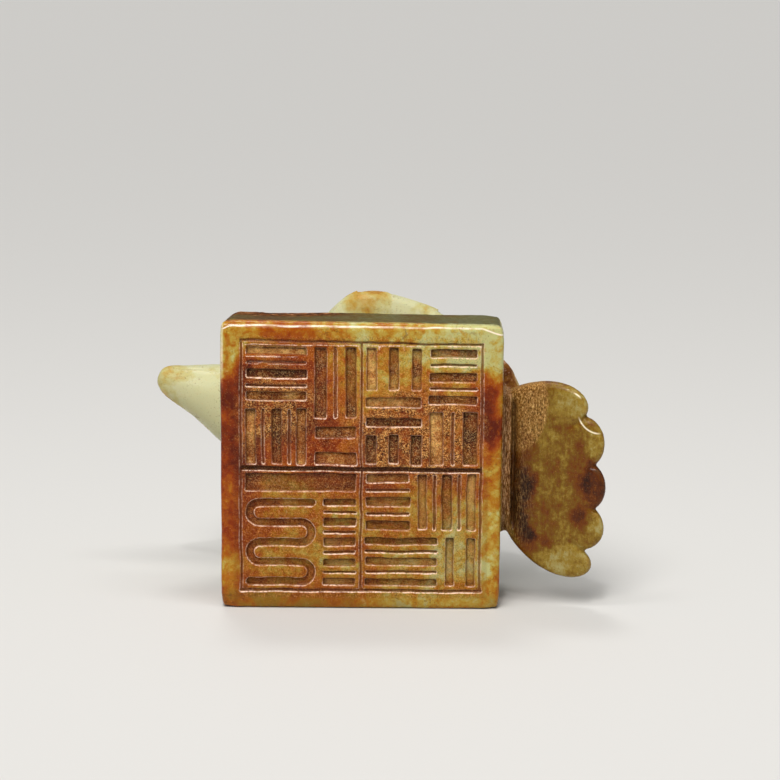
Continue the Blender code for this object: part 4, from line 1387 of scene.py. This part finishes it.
    colour = g.tint(
        block_colour,
        (rough_zone * 0.85, rough_colour),
        (floor * floor_share, floor_colour),
        (line_part * 0.55, (150, 84, 56)),
        # painted shade on the strokes' walls
        (wall_shade * 0.15, (60, 20, 8)),
        (on_front * g.ease(z, 22.0, 27.0, 0.22, 0.0), (86, 44, 10)),
        (g.attribute("shade") * 0.88, (36, 10, 3)),
        # chalk and painted highlight on the strokes' rims
        (g.math('MINIMUM', rim_chalk_and_highlight * 1.9, 0.96), (250, 214, 188)),
        (divider * g.ease(depth, 0.1, 0.4, 0.0, 0.8), (56, 17, 6)),
        (in_fields * g.ease(dust, 0.55, 0.65, 0.0, 0.50), (234, 164, 92)),
        (in_fields * g.ease(dust, 0.36, 0.46, 0.62, 0.0), (50, 17, 4)),
        (top * 0.85, g.ramp(clouds, (0.35, 36, 36, 14), (0.65, 60, 58, 28))),
        # worn patch, with painted glints
        (worn, worn_and_glint_colour),
        (is_bird, bird_colour(g)),
        (is_tail, tail_colour(g, tan)),
        (g.attribute("parting") * 0.5, (98, 62, 28)),
        # painted shade in hollows
        (hollow * 0.35, (70, 36, 14)),
        # painted highlight on ridges
        (ridge_highlight * 0.30, (214, 178, 120)),
        # painted highlight along the face's upper and left edges
        (painted_edge_highlight(g), (252, 238, 214)),
        (speckled, (84, 34, 10)),
        (glints * 0.25, (222, 160, 84)),
        (vein * 0.55, (96, 48, 16)),
    )

    # gloss
    rough = (
        g.ease(g.noise(0.9, 5.0, 0.65), 0.35, 0.70, 0.18, 0.34)
        + is_bird * 0.16 + rim_chalk_and_highlight * 0.25 + floor * 0.34 + rough_zone * 0.18 + is_tail * tan * 0.30
        + worn * 0.5 + hollow * 0.15 + specks * 0.10 + top * 0.25
    )
    dull = g.most(g.most(top, worn), is_bird * 0.6)

    # fine relief
    scratch = g.noise(1.2, 3.0, 0.6, place=place * (4.0, 4.0, 0.35))
    relief = (
        g.noise(5.0, 4.0, 0.7) * (floor * 1.6 + 0.25)
        + g.noise(3.6, 3.0, 0.7) * (rough_zone * 2.6)
        + scratch * (is_tail * 0.9 + 0.15)
        + g.noise(1.1, 3.0, 0.5) * 0.35
    )
    bump = g.output('ShaderNodeBump', 0, inputs={
        'Strength': BUMP_STRENGTH, 'Distance': BUMP_DISTANCE, 'Height': relief,
    })

    for name, value in (
        ('Base Color', colour),
        ('Roughness', g.math('MINIMUM', rough, 0.9)),
        ('Normal', bump),
        ('Metallic', 0.0),
        ('IOR', 1.5),
        ('Specular IOR Level', 0.09),
        ('Coat Weight', g.ease(dull, 0.0, 1.0, 0.16, 0.02)),
        ('Coat Roughness', 0.12),
        ('Subsurface Weight', 0.18),
        ('Subsurface Radius', (1.0, 0.55, 0.22)),
        ('Subsurface Scale', 0.0022),
    ):
        g.put(shader.inputs[name], value)
    return material


# Studio

def make_floor():
    bm = bmesh.new()
    bmesh.ops.create_circle(bm, cap_ends=True, segments=64, radius=12.0)
    mesh = bpy.data.meshes.new("floor")
    bm.to_mesh(mesh)
    bm.free()
    material, shader = new_material("pale floor")
    shader.inputs['Base Color'].default_value = (0.64, 0.63, 0.61, 1.0)
    shader.inputs['Roughness'].default_value = 0.7
    mesh.materials.append(material)
    return linked("floor", mesh)


def sun_light(name, azimuth, elevation, softness, strength, colour):
    """A soft sun; azimuth 0 is in front of the seal face, 90 on the bird's head side."""
    data = bpy.data.lights.new(name, 'SUN')
    data.energy = strength
    data.angle = math.radians(softness)
    data.color = colour
    light = linked(name, data)
    light.rotation_euler = (math.radians(90 - elevation), 0.0, math.radians(-azimuth))


def overhead_light():
    data = bpy.data.lights.new("overhead", 'AREA')
    data.shape = 'RECTANGLE'
    data.size, data.size_y = OVERHEAD_SIZE
    data.energy = OVERHEAD_POWER_WATTS
    data.color = (1.0, 0.99, 0.97)
    light = linked("overhead", data)
    light.location = OVERHEAD_PLACE
    away = [p - t for p, t in zip(OVERHEAD_PLACE, OVERHEAD_TARGET)]
    flat = math.hypot(away[0], away[1])
    light.rotation_euler = (math.atan2(flat, away[2]), 0.0, math.atan2(away[0], -away[1]))


def make_studio():
    scene = bpy.context.scene
    scene.world = bpy.data.worlds.new("soft grey")
    scene.world.use_nodes = True
    background = scene.world.node_tree.nodes["Background"]
    background.inputs[0].default_value = (0.86, 0.88, 0.90, 1.0)
    background.inputs[1].default_value = 0.27
    sun_light("key", 18.0, 46.0, 26.0, 1.9, (1.0, 0.98, 0.95))
    sun_light("glint", 8.0, 62.0, 4.0, 0.55, (1.0, 0.99, 0.98))
    sun_light("back", 170.0, 62.0, 14.0, 0.6, (1.0, 0.99, 0.97))
    overhead_light()
    scene.view_settings.view_transform = 'Standard'
    data = bpy.data.cameras.new("camera")
    data.sensor_width = 36.0
    data.lens = 124.6
    data.clip_start = 0.01
    camera = linked("camera", data)
    camera.location = (0.0050, -0.4746, 0.1195)
    camera.rotation_euler = (math.radians(90 - CAMERA_TILT), 0.0, 0.0)
    camera.rotation_euler.rotate_axis('Z', math.radians(CAMERA_ROLL))
    scene.camera = camera


seal = make_seal()
seal.data.materials.clear()
seal.data.materials.append(jade_material())
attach(seal, "root")
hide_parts("jade_seal")
make_floor()
make_studio()
